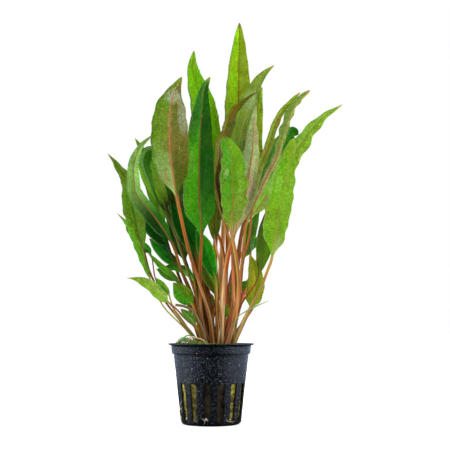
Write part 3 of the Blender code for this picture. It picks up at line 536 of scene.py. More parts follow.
# White roots on the pot: how pale each is, and its route as (angle, radius, height).
ROOTS = [
    (0.9, [(-62, 20.8, 11), (-66, 21.6, 9.5), (-70, 21.2, 7.5), (-64, 21.5, 6), (-60, 21.2, 4.5),
           (-66, 20.9, 3.0)]),
    (0.8, [(-64, 20.6, 16), (-60, 21.9, 14), (-63, 22.3, 12), (-58, 21.8, 10), (-62, 21.0, 8)]),
    (0.7, [(-76, 20.9, 9), (-80, 21.8, 6), (-84, 22.3, 3.2)]),
    (0.4, [(-18, 19.2, 5.4), (-13, 20.3, 4.6), (-10, 20.1, 3.0), (-13, 19.8, 1.6)]),
    (0.3, [(-34, 19.4, 4.4), (-29, 19.6, 3.0), (-24, 19.9, 3.4)]),
    (0.6, [(26, 19.2, 5.5), (33, 20.0, 3.4), (40, 20.1, 2.8), (50, 19.8, 3.0)]),
]
ROOT_RADII = [0.12, 0.1, 0.04]

# Bits of grit in the slots, as (angle, height, size).
GRIT = [(-9, 4.6, 1.0), (-12, 4.2, 0.6), (-54, 4.6, 0.8), (-57, 4.2, 0.5), (-6, 4.0, 0.5), (40, 4.2, 0.5)]

# Leaves with dew: how many beads, and from what share of the blade's length.
DEWY = [
    ("leaf_front_left_broad", 90, 0.3), ("leaf_front_right_broad", 30, 0.1), ("leaf_tall_dark", 40, 0.1),
    ("leaf_front_centre_wavy", 30, 0.1),
]


def within(value):
    """A value kept from 0 to 1."""
    return min(max(value, 0.0), 1.0)


def smooth_step(value, low, high):
    """0 below low, 1 above high, and an easy rise between them."""
    share = within((value - low) / (high - low))
    return share * share * (3.0 - 2.0 * share)


def between(first, second, share):
    """A number between two others."""
    return first + (second - first) * share


def around(angle, radius, z=0.0):
    """A point at an angle from the front, in degrees, growing to the right."""
    turn = math.radians(angle)
    return Vector((math.sin(turn) * radius, -math.cos(turn) * radius, z))


def smooth_curve(points):
    """Points on a Catmull-Rom curve through the given ones."""
    ends = [points[0] * 2 - points[1]] + points + [points[-1] * 2 - points[-2]]
    curve = []
    for before, start, end, after in zip(ends, ends[1:], ends[2:], ends[3:]):
        for step in range(CURVE_STEPS):
            t = step / CURVE_STEPS
            bend = (before * 2 - start * 5 + end * 4 - after) * t * t
            turn = (start * 3 - before - end * 3 + after) * t * t * t
            curve.append((start * 2 + (end - before) * t + bend + turn) / 2)
    curve.append(points[-1])
    return curve


def measure(curve):
    """Running length of a polyline."""
    lengths = [0.0]
    for first, second in zip(curve, curve[1:]):
        lengths.append(lengths[-1] + (second - first).length)
    return lengths


def at_length(curve, lengths, target):
    """The point of a polyline at a length along it."""
    for index in range(1, len(curve)):
        if lengths[index] >= target:
            share = (target - lengths[index - 1]) / (lengths[index] - lengths[index - 1])
            return curve[index - 1].lerp(curve[index], share)
    return curve[-1].copy()


def evenly(points, count):
    """Points at equal spacing on a smooth curve through the given ones."""
    curve = smooth_curve(points)
    lengths = measure(curve)
    return [at_length(curve, lengths, lengths[-1] * number / (count - 1)) for number in range(count)]


def carried_frames(places, facing):
    """For each place on a curve, its direction and the facing carried along without needless turning."""
    frames = []
    for index in range(len(places)):
        ahead = places[min(index + 1, len(places) - 1)]
        behind = places[max(index - 1, 0)]
        tangent = (ahead - behind).normalized()
        facing = (facing - tangent * facing.dot(tangent)).normalized()
        frames.append((tangent, facing))
    return frames


def drawn_tube(rings, corners, marked=False):
    """A unit tube with closed ends, and each vertex with its ring and its corner in the ring.

    A marked tube has layers for a leaf's own places and its midrib.
    """
    bm = bmesh.new()
    if marked:
        bm.verts.layers.float_vector.new("blade")
        bm.verts.layers.float.new("rib")
    bmesh.ops.create_cone(bm, cap_ends=True, segments=corners, radius1=1.0, radius2=1.0, depth=1.0)
    upright = [edge for edge in bm.edges if abs(edge.verts[0].co.z - edge.verts[1].co.z) > 0.5]
    bmesh.ops.subdivide_edges(bm, edges=upright, cuts=rings - 2)
    placed = []
    for vert in bm.verts:
        ring = round((vert.co.z + 0.5) * (rings - 1))
        corner = round(math.atan2(vert.co.x, vert.co.y) / math.tau * corners) % corners
        placed.append((vert, ring, corner))
    return bm, placed


def finished_mesh(bm, name):
    """A smooth mesh in metres from a bmesh in millimetres, with its faces pointing out."""
    bmesh.ops.scale(bm, vec=(MM, MM, MM), verts=bm.verts[:])
    bmesh.ops.recalc_face_normals(bm, faces=bm.faces[:])
    mesh = bpy.data.meshes.new(name)
    bm.to_mesh(mesh)
    bm.free()
    mesh.shade_smooth()
    return mesh


def add_piece(name, mesh, material, replaces=()):
    """A finished piece on the plant's one body."""
    piece = bpy.data.objects.new(name, mesh)
    bpy.context.scene.collection.objects.link(piece)
    mesh.materials.clear()
    mesh.materials.append(material)
    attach(piece, ROOT)
    if replaces:
        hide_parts(*replaces)
    return piece


def strand_mesh(points, radii, corners, rings, flat=1.0, facing=TO_FRONT):
    """A closed strand along a curve. Radii run from its start to its end, and flat squeezes its depth."""
    places = evenly(points, rings)
    frames = carried_frames(places, facing)
    bm, placed = drawn_tube(rings, corners)
    for vert, ring, corner in placed:
        share = ring / (rings - 1) * (len(radii) - 1)
        step = min(int(share), len(radii) - 2)
        radius = between(radii[step], radii[step + 1], share - step)
        tangent, out = frames[ring]
        angle = math.tau * corner / corners
        across = tangent.cross(out)
        vert.co = places[ring] + across * math.sin(angle) * radius + out * math.cos(angle) * radius * flat
    return finished_mesh(bm, "strand")


def add_shades(mesh, values):
    """Keep a shade from 0 to 1 on each vertex of a mesh."""
    layer = mesh.attributes.new("shade", "FLOAT", "POINT")
    layer.data.foreach_set("value", values)


def gathered(name, meshes, shades):
    """Many small meshes as one, each with its own shade from 0 to 1."""
    bm = bmesh.new()
    for mesh, shade in zip(meshes, shades):
        add_shades(mesh, [shade] * len(mesh.vertices))
        bm.from_mesh(mesh)
        bpy.data.meshes.remove(mesh)
    whole = bpy.data.meshes.new(name)
    bm.to_mesh(whole)
    bm.free()
    whole.shade_smooth()
    return whole


def copies_of(shape, placements):
    """Copies of a small mesh, one for each placement."""
    made = []
    for placement in placements:
        copy = shape.copy()
        copy.transform(placement)
        made.append(copy)
    return made


# The leaves.


def layer_depth(z, layer):
    """How far behind the front elevation a layer is at a height. The layers arch outwards."""
    rise = max((z - PAD_FLAT_Z) / FAN_HEIGHT, 0.0)
    return layer * (LAYER_SPACING_FOOT + LAYER_SPACING_RISE * rise + LAYER_SPACING_ARCH * rise * rise)


def at_depth(x, z, depth):
    """Bring a point of the front elevation to a depth, along the line of sight."""
    nearer = (depth - EYE.y) / -EYE.y
    return Vector((EYE.x + (x - EYE.x) * nearer, depth, EYE.z + (z - EYE.z) * nearer))


def leaf_rings(leaf):
    """Rings along a leaf: (place, share, length along), where the share is below 0 on the stalk."""
    elevation = [Vector((x, 0.0, z)) for x, z in leaf.stalk + leaf.blade]
    run = measure(elevation)
    points = []
    for place, length in zip(elevation, run):
        depth = layer_depth(place.z, leaf.layer) + leaf.lean * (length / run[-1]) ** 2
        points.append(at_depth(place.x, place.z, depth))
    points[0].z = STALK_FOOT_Z - STALK_SUNK
    curve = smooth_curve(points)
    lengths = measure(curve)
    blade_from = lengths[len(leaf.stalk) * CURVE_STEPS]
    blade_length = lengths[-1] - blade_from
    stalk_count = max(6, int(blade_from / STALK_RING_SPACING))
    blade_count = max(24, int(blade_length / BLADE_RING_SPACING))
    rings = []
    for number in range(stalk_count):
        length = blade_from * number / stalk_count
        rings.append((at_length(curve, lengths, length), length / blade_from - 1.0, length))
    for number in range(blade_count + 1):
        share = number / blade_count
        length = blade_from + blade_length * share
        rings.append((at_length(curve, lengths, length), share, length))
    return rings


def blade_half_width(leaf, t):
    """Half width of the blade at a share of its length: narrow at both ends, widest at the peak."""
    power = math.log(0.5) / math.log(leaf.peak)
    half = leaf.width / 2 * math.sin(math.pi * min(t, 1.0) ** power) ** leaf.taper
    return half * (1.0 - leaf.drawn * smooth_step(t, 0.72, 0.97))


def stalk_radius(leaf, t):
    """Radius of the stalk at a share from -1 at its foot to 0: thicker at its foot, as a sheath."""
    radius = STALK_RADIUS * min(max(leaf.width / FULL_STALK_WIDTH, LEAST_STALK_SHARE), 1.0) * leaf.stout
    return radius * (1.0 + 0.5 * smooth_step(-t, 0.6, 1.0))


def rib_radius(leaf, t):
    """Radius of the midrib along the blade."""
    return stalk_radius(leaf, 0.0) * 0.62 * (1.0 - t) ** 0.8 + 0.12


def stalk_corner(leaf, t, turn, front):
    """A point of the stalk's section, as (across, out). The upper side has a shallow channel."""
    radius = stalk_radius(leaf, t)
    out = front * radius * math.cos(math.pi / 2 * turn)
    if front == leaf.side:
        out *= 1.0 - 0.3 * math.cos(math.pi / 2 * turn) ** 2
    return radius * math.sin(math.pi / 2 * turn), out


def blade_corner(leaf, t, length, turn, front, phase):
    """A point of the blade's section, as (across, out), and its share from the midrib to the margin."""
    share = turn * (0.32 + 0.68 * turn * turn)
    off = abs(share)
    half = blade_half_width(leaf, t)

    # The waves along the margin die away at both ends of the blade.
    wave = math.tau * length / leaf.ripple_length + phase + (1.7 if turn > 0 else 0.0)
    ends = smooth_step(t, 0.05, 0.25) * (1.0 - smooth_step(t, 0.88, 1.0))
    half *= 1.0 + 0.05 * min(leaf.ripple, 1.0) * math.sin(wave * 0.8 + 1.0) * ends
    half = max(half, TIP_HALF_WIDTH)

    # Each half is folded up at the midrib and slightly arched, with waves and fine crimps outside.
    fold = half * math.tan(math.radians(leaf.fold)) * leaf.side
    lift = fold * (off * 1.15 - 0.15 * off * off) + leaf.side * half * 0.05 * math.sin(math.pi * off)
    lift += leaf.ripple * math.sin(wave) * off * off * ends * min(1.0, half / 4.0)
    crimp = noise.noise(Vector((length * 0.55, phase * 5.0, 1.0 if turn > 0 else 7.0)))
    lift += 0.5 * crimp * off ** 4 * ends * min(1.0, half / 5.0)
    half *= 1.0 + 0.03 * crimp * ends
    lift += 0.25 * math.sin(length * 0.19 + phase) * ends
    puckers = noise.noise(Vector((length * 0.35 + phase * 9.0, share * half * 0.45, phase)))
    lift += 0.32 * puckers * ends * smooth_step(off, 0.08, 0.3) * min(1.0, half / 5.0)

    # The midrib and the side veins are raised on the lower side and sunk on the upper one.
    radius = rib_radius(leaf, t)
    apart = off * half / (radius * 0.85)
    ridge = radius * math.exp(-apart * apart)
    side_vein = sum(math.exp(-((off - vein) / SIDE_VEIN_WIDTH) ** 2) for vein in SIDE_VEINS)
    thick = BLADE_THICKNESS * (1.0 - 0.45 * off)
    if front == leaf.side:
        out = lift + front * (thick - ridge * 0.3 - side_vein * 0.05 * ends)
    else:
        out = lift + front * (thick + ridge + side_vein * 0.07 * ends)
    return half * share, out, share


def make_leaf(leaf, number, material):
    """One leaf: a tube drawn along its stalk and flattened into the blade, with its midrib and veins."""
    rings = leaf_rings(leaf)
    frames = carried_frames([place for place, _, _ in rings], TO_FRONT)
    corners = BROAD_CORNERS if leaf.width > BROAD_WIDTH else NARROW_CORNERS
    phase = number * PHASE_STEP
    roll = math.radians(leaf.roll)
    bm, placed = drawn_tube(len(rings), corners, marked=True)
    spot = bm.verts.layers.float_vector["blade"]
    ribbed = bm.verts.layers.float["rib"]
    half_round = corners // 2
    for vert, ring, corner in placed:
        place, t, length = rings[ring]
        tangent, facing = frames[ring]
        front = 1 if corner < half_round else -1
        turn = 1.0 - 2.0 * (corner % half_round) / half_round
        if front < 0:
            turn = -turn
        fade = smooth_step(t, -0.015, 0.16)
        across, out = stalk_corner(leaf, min(t, 0.0), turn, front)
        share = turn
        rib = 1.0
        if fade > 0:
            wide, high, share = blade_corner(leaf, max(t, 0.0), length, turn, front, phase)
            rib = math.exp(-(wide / (rib_radius(leaf, max(t, 0.0)) * 1.05)) ** 2)
            across = between(across, wide, fade)
            out = between(out, high, fade)
        normal = Matrix.Rotation(roll, 3, tangent) @ facing
        sideways = tangent.cross(normal).normalized()
        vert.co = place + sideways * across + normal * out
        vert[spot] = (share, t, (front + 1) / 2)
        vert[ribbed] = rib
    name = leaf.name + "_grown"
    mesh = finished_mesh(bm, name)
    mesh.set_sharp_from_angle(angle=math.radians(80))
    return add_piece(name, mesh, material, [leaf.name])


# Materials. Shader maths is written as plain arithmetic on sockets. Colours are from 0 to 255.

STALK_BAND, STALK_STREAK = (140, 62, 28), (222, 188, 132)
PLASTIC_BLACK, PLASTIC_WORN = (4, 5, 8), (12, 15, 22)
BEAD_DARK, BEAD_PAINTED_GLINT = (4, 6, 9), (90, 104, 124)
DEW_GREEN, DEW_PAINTED_GLINT = (120, 150, 70), (190, 205, 160)
WOOL_SHADE_BLACK, WOOL_SHADE_BROWN = (12, 9, 3), (62, 50, 15)
WOOL_OLIVE, WOOL_PALE = (70, 66, 12), (226, 214, 84)
WOOL_STAIN = (26, 15, 7)
MOSS_OLIVE, MOSS_FRESH, MOSS_DEAD = (60, 82, 20), (156, 190, 66), (96, 74, 34)
GRIT_GREY, GRIT_WHITE = (150, 135, 100), (238, 232, 214)
ROOT_BROWN, ROOT_WHITE = (84, 70, 26), (244, 238, 212)
REDDISH_DARK, REDDISH = (70, 24, 12), (150, 70, 44)
YELLOW_DARK, YELLOW = (120, 140, 10), (214, 226, 40)


def paint(colour):
    """A colour from 0 to 255, as the shader wants it."""
    return tuple((part / 255.0) ** 2.2 for part in colour)


class Wire:
    """A value that runs between nodes, so that shader maths reads as arithmetic."""

    def __init__(self, graph, socket):
        self.graph = graph
        self.socket = socket

    def math(self, operation, *values):
        return self.graph.node("Math", {"operation": operation}, dict(enumerate(values)))

    def __add__(self, other):
        return self.math("ADD", self, other)

    def __radd__(self, other):
        return self.math("ADD", other, self)

    def __sub__(self, other):
        return self.math("SUBTRACT", self, other)

    def __rsub__(self, other):
        return self.math("SUBTRACT", other, self)

    def __mul__(self, other):
        return self.math("MULTIPLY", self, other)

    def __rmul__(self, other):
        return self.math("MULTIPLY", other, self)

    def __truediv__(self, other):
        return self.math("DIVIDE", self, other)

    def __pow__(self, other):
        return self.math("POWER", self, other)

    def __abs__(self):
        return self.math("ABSOLUTE", self)

    def cosine(self):
        return self.math("COSINE", self)

    def larger(self, other):
        return self.math("MAXIMUM", self, other)

    def clamped(self):
        return self.math("MINIMUM", self.larger(0.0), 1.0)

    def eased(self, low, high):
        """0 below low, 1 above high, and an easy rise between them. Low may be the larger one."""
        settings = {"interpolation_type": "SMOOTHSTEP"}
        return self.graph.node("MapRange", settings, {"Value": self, "From Min": low, "From Max": high})

    def line(self, middle, width):
        """1 where the value is at the middle, falling to 0 at a width on either side."""
        return abs(self - middle).eased(width, 0.0)


class Graph:
    """A tree of nodes being put together."""

    def __init__(self, tree):
        self.tree = tree

    def node(self, kind, settings, inputs, output=0):
        """Any node: its type, its settings, what goes into its sockets, and the output that is used."""
        node = self.tree.nodes.new("ShaderNode" + kind)
        for setting, value in settings.items():
            setattr(node, setting, value)
        for socket, value in inputs.items():
            self.feed(node.inputs[socket], value)
        return Wire(self, node.outputs[output])

    def feed(self, socket, value):
        """Link a wire to a socket, or set the socket to a number, a vector or a colour."""
        if isinstance(value, Wire):
            self.tree.links.new(value.socket, socket)
        elif socket.type == "RGBA" and len(value) == 3:
            socket.default_value = (*value, 1.0)
        else:
            socket.default_value = value


class Finish(Graph):
    """A material being put together on its Principled shader."""

    def __init__(self, name, roughness=0.5, **fixed):
        self.material = bpy.data.materials.new(name)
        self.material.use_nodes = True
        super().__init__(self.material.node_tree)
        self.shader = self.tree.nodes["Principled BSDF"]
        self.shader.inputs["Roughness"].default_value = roughness
        for socket, value in fixed.items():
            self.shader.inputs[socket.replace("_", " ")].default_value = value
        self.place = self.node("TexCoord", {}, {}, "Object")

    def mix(self, first, second, share):
        """One colour giving way to another."""
        return self.node("Mix", {"data_type": "RGBA"}, {0: share, 6: first, 7: second}, 2)

    def lit(self, colour, strength):
        """A colour made lighter or darker by a value."""
        return self.node("VectorMath", {"operation": "SCALE"}, {"Vector": colour, "Scale": strength})

    def stretched(self, scale, spot=None):
        """The place on the piece, scaled along each axis."""
        return self.node("VectorMath", {"operation": "MULTIPLY"}, {0: spot or self.place, 1: scale})

    def speckle(self, scale, detail=3.0, rough=0.55, spot=None):
        """Soft noise from 0 to 1."""
        inputs = {"Vector": spot or self.place, "Scale": scale, "Detail": detail, "Roughness": rough}
        return self.node("TexNoise", {}, inputs)

    def cells(self, scale):
        """Distance from the borders of a net of cells."""
        inputs = {"Vector": self.place, "Scale": scale}
        return self.node("TexVoronoi", {"feature": "DISTANCE_TO_EDGE"}, inputs)

    def attribute(self, name):
        """A number kept on the mesh."""
        return self.node("Attribute", {"attribute_name": name}, {}, "Fac")

    def three_of(self, name):
        """The three numbers of a vector kept on the mesh."""
        spot = self.node("Attribute", {"attribute_name": name}, {}, "Vector")
        return spot, [self.node("SeparateXYZ", {}, {0: spot}, axis) for axis in "XYZ"]

    def show(self, colour, roughness=None, height=None, depth=0.1, strength=0.6):
        """Feed the shader. The height is in shares of the depth, which is in millimetres."""
        self.feed(self.shader.inputs["Base Color"], colour)
        if roughness is not None:
            self.feed(self.shader.inputs["Roughness"], roughness)
        if height is not None:
            bump = self.node("Bump", {}, {"Height": height, "Distance": depth * MM, "Strength": strength})
            self.feed(self.shader.inputs["Normal"], bump)
        return self.material


def blade_colour(finish, look, across, along, front):
    """A blade's colours from left to right and from base to tip, its patches, the pale ones painted sheen,
    and its far side.
    """
    right = across.eased(-0.12, 0.12)
    upper = finish.mix(paint(look.left), paint(look.right), right)
    lower = finish.mix(paint(look.base_left or look.left), paint(look.base_right or look.right), right)
    blade = finish.mix(lower, upper, along.eased(look.base_reach - 0.2, look.base_reach + 0.2))
    # The pale patches are painted sheen and highlights.
    for wide, high, half_width, half_length, colour, strength in look.patches:
        gap = ((across - wide) / half_width) ** 2.0 + ((along - high) / half_length) ** 2.0
        blade = finish.mix(blade, paint(colour), gap.eased(1.0, 0.0) * strength)
    blade = finish.mix(blade, paint(look.tip), along.eased(look.tip_from, 1.0))
    return finish.mix(paint(look.far), blade, front)


def blade_veins(off, along, ends):
    """Close slanting veins and two arching ones on each half, which fade at both ends."""
    slanting = ((along * 13.0 - off ** 0.8 * 2.4) * math.tau).cosine().eased(0.8, 1.0)
    inner, outer = SIDE_VEINS
    arching = off.line(inner, SIDE_VEIN_WIDTH).larger(off.line(outer, 0.9 * SIDE_VEIN_WIDTH))
    return (slanting * 0.6).larger(arching * 0.8) * ends * off.eased(0.02, 0.12)


def stalk_colour(finish, look, spot, along, streaks):
    """A stalk from its foot's colour to its own, with reddish bands and pale streaks along it."""
    bands = finish.speckle(1.0, 2.0, 0.5, finish.stretched((1.7, 3.0, 5.0), spot))
    pale = finish.speckle(1.0, 2.0, 0.5, finish.stretched((1.4, 1.2, 7.0), spot))
    stalk = finish.mix(paint(look.foot), paint(look.stalk), along.eased(-1.0, -0.1))
    stalk = finish.mix(stalk, paint(STALK_BAND), bands.eased(0.46, 0.58) * (0.15 + look.streaked))
    stalk = finish.mix(stalk, paint(STALK_STREAK), pale.eased(0.52, 0.64) * look.streaked)
    return finish.lit(stalk, 0.35 + streaks.eased(0.36, 0.6) * 1.15)


def leaf_finish(leaf, look):
    """A leaf blade with its midrib, veins and fine net, on a streaked stalk."""
    finish = Finish(leaf.name + "_finish", Specular_IOR_Level=0.05, Coat_Roughness=0.24)
    spot, (across, along, front) = finish.three_of("blade")
    rib = finish.attribute("rib")
    off = abs(across)
    clouds = finish.speckle(140.0, 2.0)
    blotches = finish.speckle(420.0, 3.0, 0.6)
    grain = finish.speckle(1000.0, 2.0, 0.6)
    streaks = finish.speckle(1.0, 3.0, 0.6, finish.stretched((2.0, 1.6, 3.0), spot))
    ends = along.eased(0.02, 0.15) * along.eased(1.0, 0.86)
    veins = blade_veins(off, along, ends)
    net = finish.cells(420.0).eased(0.14, 0.0)
    edge = off.eased(0.93, 1.0)
    fine = grain.eased(0.36, 0.64)

    blade = blade_colour(finish, look, across, along, front)
    blade = finish.mix(blade, paint(look.vein or look.rib), veins * look.veins)
    blade = finish.mix(blade, paint(look.flush), finish.speckle(64.0, 2.0).eased(0.46, 0.68) * look.flushed)
    blade = finish.lit(blade, 0.12 + clouds * 0.62 + blotches * 0.75 + fine * 0.4 - net * ends * 0.14)
    # The margins are painted a third lighter: a painted rim light.
    blade = finish.lit(blade, 1.0 + edge * 0.35)
    stalk = stalk_colour(finish, look, spot, along, streaks)
    ribbing = finish.mix(stalk, paint(look.rib), along.eased(0.0, 0.25))
    blade = finish.mix(blade, ribbing, rib.eased(0.25, 0.75) * 0.9)
    colour = finish.mix(stalk, blade, along.eased(-0.02, 0.03))
    height = veins * 0.4 + (grain * 0.1 + blotches) * ends + clouds * 1.6 + streaks * 0.6
    finish.feed(finish.shader.inputs["Coat Weight"], clouds.eased(0.5, 0.64) * 0.07)
    return finish.show(colour, 0.42 + clouds * 0.16 + grain * 0.1, height, depth=0.5, strength=0.7)


def plastic_finish():
    """Black moulded plastic with a faint grain, wet in patches."""
    finish = Finish("black_pot_plastic", Specular_IOR_Level=0.31, Specular_Tint=(0.72, 0.85, 1.0, 1.0))
    clouds = finish.speckle(120.0, 3.0)
    grain = finish.speckle(2600.0, 2.0)
    spots = finish.speckle(900.0, 2.0, 0.6).eased(0.5, 0.62)
    colour = finish.mix(paint(PLASTIC_BLACK), paint(PLASTIC_WORN), clouds)
    height = grain + clouds * 2.0 - spots * 1.5
    return finish.show(colour, 0.17 + clouds * 0.08 + spots * 0.1, height, depth=0.14, strength=0.65)


def water_finish():
    """Water beads on the pot: most of them as dark as the plastic, about a quarter of them paler with a
    painted bluish glint.
    """
    finish = Finish("water_bead", 0.06, IOR=1.5, Specular_IOR_Level=1.0)
    bright = finish.attribute("shade").eased(0.75, 1.0)
    # The paler beads carry a painted glint, not a colour of the water.
    colour = finish.mix(paint(BEAD_DARK), paint(BEAD_PAINTED_GLINT), bright)
    return finish.show(colour)


def dew_finish():
    """Small beads of water on the leaves, from green to pale, where the pale is a painted glint."""
    finish = Finish("dew_bead", 0.04, IOR=1.33, Specular_IOR_Level=0.8)
    # The pale end of the mix is a painted glint.
    colour = finish.mix(paint(DEW_GREEN), paint(DEW_PAINTED_GLINT), finish.attribute("shade"))
    return finish.show(colour)


def wool_finish():
    """Rock wool, mottled, with pits painted dark as shade: olive at the sides of the pot, and painted
    shade, brown and dark, in its middle.
    """
    finish = Finish("rock_wool_fibre", 0.95)
    shade = finish.attribute("shade")
    clouds = finish.speckle(110.0, 4.0, 0.65)
    threads = finish.speckle(1.0, 4.0, 0.7, finish.stretched((900.0, 900.0, 260.0)))
    across = finish.node("SeparateXYZ", {}, {0: finish.place}, "X")
    # Near x = 0, in front and behind, the wool is painted dark as shade, and a little darker on the right;
    # the sides keep the olive.
    aside = abs(across).eased(0.007, 0.016) * (1.0 - across.eased(0.0, 0.01) * 0.3)
    middle = finish.mix(paint(WOOL_SHADE_BLACK), paint(WOOL_SHADE_BROWN), clouds.eased(0.3, 0.7))
    colour = finish.mix(paint(WOOL_OLIVE), paint(WOOL_PALE), clouds.eased(0.3, 0.7))
    colour = finish.mix(middle, colour, aside)
    stains = finish.speckle(260.0, 4.0, 0.7).eased(0.47, 0.58)
    colour = finish.mix(colour, paint(WOOL_STAIN), stains * 0.8)
    # The dark pits are painted shade in the wool's hollows.
    pits = finish.speckle(560.0, 3.0, 0.6).eased(0.48, 0.36)
    colour = finish.lit(colour, 0.4 + threads * 1.1 + shade * 0.35 - pits * 0.75)
    return finish.show(colour, None, threads + clouds, depth=0.6, strength=0.9)


def moss_finish():
    """Moss from olive to fresh green, brown where it is dead."""
    finish = Finish("moss_growth", 0.8)
    shade = finish.attribute("shade")
    colour = finish.mix(paint(MOSS_OLIVE), paint(MOSS_FRESH), shade)
    colour = finish.mix(colour, paint(MOSS_DEAD), finish.speckle(140.0).eased(0.56, 0.7) * 0.8)
    return finish.show(finish.lit(colour, 0.7 + finish.speckle(800.0) * 0.6))


def thread_finish(name, dark, light, roughness=0.6):
    """A strand between two colours, mottled along its length."""
    finish = Finish(name, roughness)
    mottle = finish.speckle(420.0, 3.0)
    shade = finish.attribute("shade")
    colour = finish.mix(paint(dark), paint(light), (mottle * 0.6 + shade * 0.5).clamped())
    return finish.show(colour, None, mottle, depth=0.08)


def grit_finish():
    """White grit at the bottom of the wool."""
    finish = Finish("white_grit", 0.7)
    grain = finish.speckle(1500.0, 4.0, 0.6)
    return finish.show(finish.mix(paint(GRIT_GREY), paint(GRIT_WHITE), grain), None, grain, depth=0.2)


# The pot.


def wall_radius(z):
    """Outer radius of the tapering body at a height."""
    share = (z - BASE_ROUNDING) / (COLLAR_FOOT_Z - BASE_ROUNDING)
    return BASE_RADIUS + (BODY_TOP_RADIUS - BASE_RADIUS) * share


def rounded_ends(low, high, width_low, width_high, between_rows):
    """Rows of a slot from its low end to its high end, as (place, half width), with round corners."""
    corner = []
    for turn in (0.0, 30.0, 60.0, 90.0):
        angle = math.radians(turn)
        corner.append((SLOT_CORNER * (1.0 - math.cos(angle)), SLOT_CORNER * (1.0 - math.sin(angle))))
    rows = [(low + along, width_low / 2 - cut) for along, cut in corner]
    start, end = low + SLOT_CORNER, high - SLOT_CORNER
    for number in range(1, between_rows):
        share = number / between_rows
        rows.append((between(start, end, share), between(width_low, width_high, share) / 2))
    rows += [(high - along, width_high / 2 - cut) for along, cut in reversed(corner)]
    return rows


def pot_rows():
    """The pot's outline as rows (radius, z, slot half width, zone), from the rim down, in, and up again."""
    side_slot = rounded_ends(SLOT_FOOT_Z, SLOT_TOP_Z, SLOT_FOOT_WIDTH, SLOT_TOP_WIDTH, 9)
    floor_slot = rounded_ends(FLOOR_SLOT_INNER, FLOOR_SLOT_OUTER, FLOOR_SLOT_WIDTH, FLOOR_SLOT_WIDTH, 4)
    wide = SLOT_TOP_WIDTH / 2 - SLOT_CORNER
    narrow = SLOT_FOOT_WIDTH / 2 - SLOT_CORNER
    edge_radius, edge_half = FLOOR_EDGE

    rows = [(RIM_RADIUS - inside, POT_HEIGHT - below, wide, None) for inside, below in RIM_OUTLINE]
    rows += [(radius, z, wide, None) for radius, z in COLLAR_STEP]
    rows += [(wall_radius(z), z, wide, None) for z in BODY_ROWS]
    rows += [(wall_radius(z), z, half, "outer") for z, half in reversed(side_slot)]
    rows.append((wall_radius(FOOT_ROW), FOOT_ROW, narrow, None))
    centre = wall_radius(0.0) - BASE_ROUNDING
    for turn in (0, 20, 40, 60, 75, 90):
        angle = math.radians(turn)
        out, up = BASE_ROUNDING * math.cos(angle), BASE_ROUNDING * (1 - math.sin(angle))
        rows.append((centre + out, up, narrow, None))

    rows.append((edge_radius, 0.0, edge_half, None))
    rows += [(radius, 0.0, half, "under") for radius, half in reversed(floor_slot)]
    rows += [(radius, 0.0, half, None) for radius, half in FLOOR_MIDDLE]
    rows += [(radius, FLOOR, half, None) for radius, half in reversed(FLOOR_MIDDLE)]
    rows += [(radius, FLOOR, half, "floor") for radius, half in floor_slot]
    rows.append((edge_radius, FLOOR, edge_half, None))

    rows += [(radius, z, narrow, None) for radius, z in INNER_FOOT]
    rows.append((wall_radius(INNER_FOOT_ROW) - WALL, INNER_FOOT_ROW, narrow, None))
    rows += [(wall_radius(z) - WALL, z, half, "inner") for z, half in side_slot]
    rows += [(wall_radius(z) - WALL, z, wide, None) for z in INNER_ROWS]
    rows.append((COLLAR_FOOT_RADIUS - WALL, COLLAR_FOOT_Z, wide, None))
    rows.append((*INNER_COLLAR, wide, None))
    return rows


def column_angle(column, half_angle):
    """Angle of a column in its period, where the slot's sides are at the half angle."""
    first, last = SLOT_COLUMNS
    if column <= first:
        return between(-SLOT_PERIOD / 2, -half_angle, column / first)
    if column <= last:
        return between(-half_angle, half_angle, (column - first) / (last - first))
    return between(half_angle, SLOT_PERIOD / 2, (column - last) / (POT_COLUMNS - last))


def wrapped_grid(rows):
    """A grid wrapped round the pot's outline, and each vertex with its column and row."""
    bm = bmesh.new()
    bmesh.ops.create_grid(bm, x_segments=SLOT_COUNT * POT_COLUMNS, y_segments=len(rows), size=0.5)
    across = sorted({round(vert.co.x, 5) for vert in bm.verts})
    upright = sorted({round(vert.co.y, 5) for vert in bm.verts})
    cell = {}
    for vert in bm.verts:
        column = across.index(round(vert.co.x, 5))
        row = upright.index(round(vert.co.y, 5)) % len(rows)
        cell[vert] = (column, row)
        radius, z, half, _ = rows[row]
        half_angle = min(math.degrees(half / max(radius, 0.5)), WIDEST_HALF_ANGLE)
        number, inside = divmod(column, POT_COLUMNS)
        middle = FIRST_SLOT_ANGLE + number * SLOT_PERIOD
        vert.co = around(middle + column_angle(inside, half_angle), radius, z)
    return bm, cell


def open_slots(bm, rows, cell):
    """Take out the faces of both skins where the slots are."""
    opened = []
    for face in bm.faces:
        places = [cell[vert] for vert in face.verts]
        low_column = min(column for column, _ in places)
        zones = {rows[row][3] for _, row in places}
        if len(zones) == 1 and None not in zones:
            if SLOT_COLUMNS[0] <= low_column % POT_COLUMNS < SLOT_COLUMNS[1]:
                opened.append(face)
    bmesh.ops.delete(bm, geom=opened, context="FACES")
    bmesh.ops.remove_doubles(bm, verts=bm.verts[:], dist=MERGE_DISTANCE)


def wall_slots(bm):
    """Join the two skins round each slot, and wear the slots' edges."""
    loops = {}
    for edge in bm.edges:
        if edge.is_boundary:
            middle = (edge.verts[0].co + edge.verts[1].co) / 2
            angle = math.degrees(math.atan2(middle.x, -middle.y)) - FIRST_SLOT_ANGLE
            number = round(angle / SLOT_PERIOD) % SLOT_COUNT
            loops.setdefault((number, middle.z > BASE_ROUNDING), []).append(edge)
    sides = []
    for edges in loops.values():
        sides += bmesh.ops.bridge_loops(bm, edges=edges)["faces"]
    fresh = set(sides)
    rims = [edge for edge in bm.edges if len(set(edge.link_faces) & fresh) == 1]
    bmesh.ops.bevel(bm, geom=rims, offset=WORN_EDGE, offset_type="OFFSET", segments=2, profile=0.5,
                    affect="EDGES", material=-1, clamp_overlap=True)


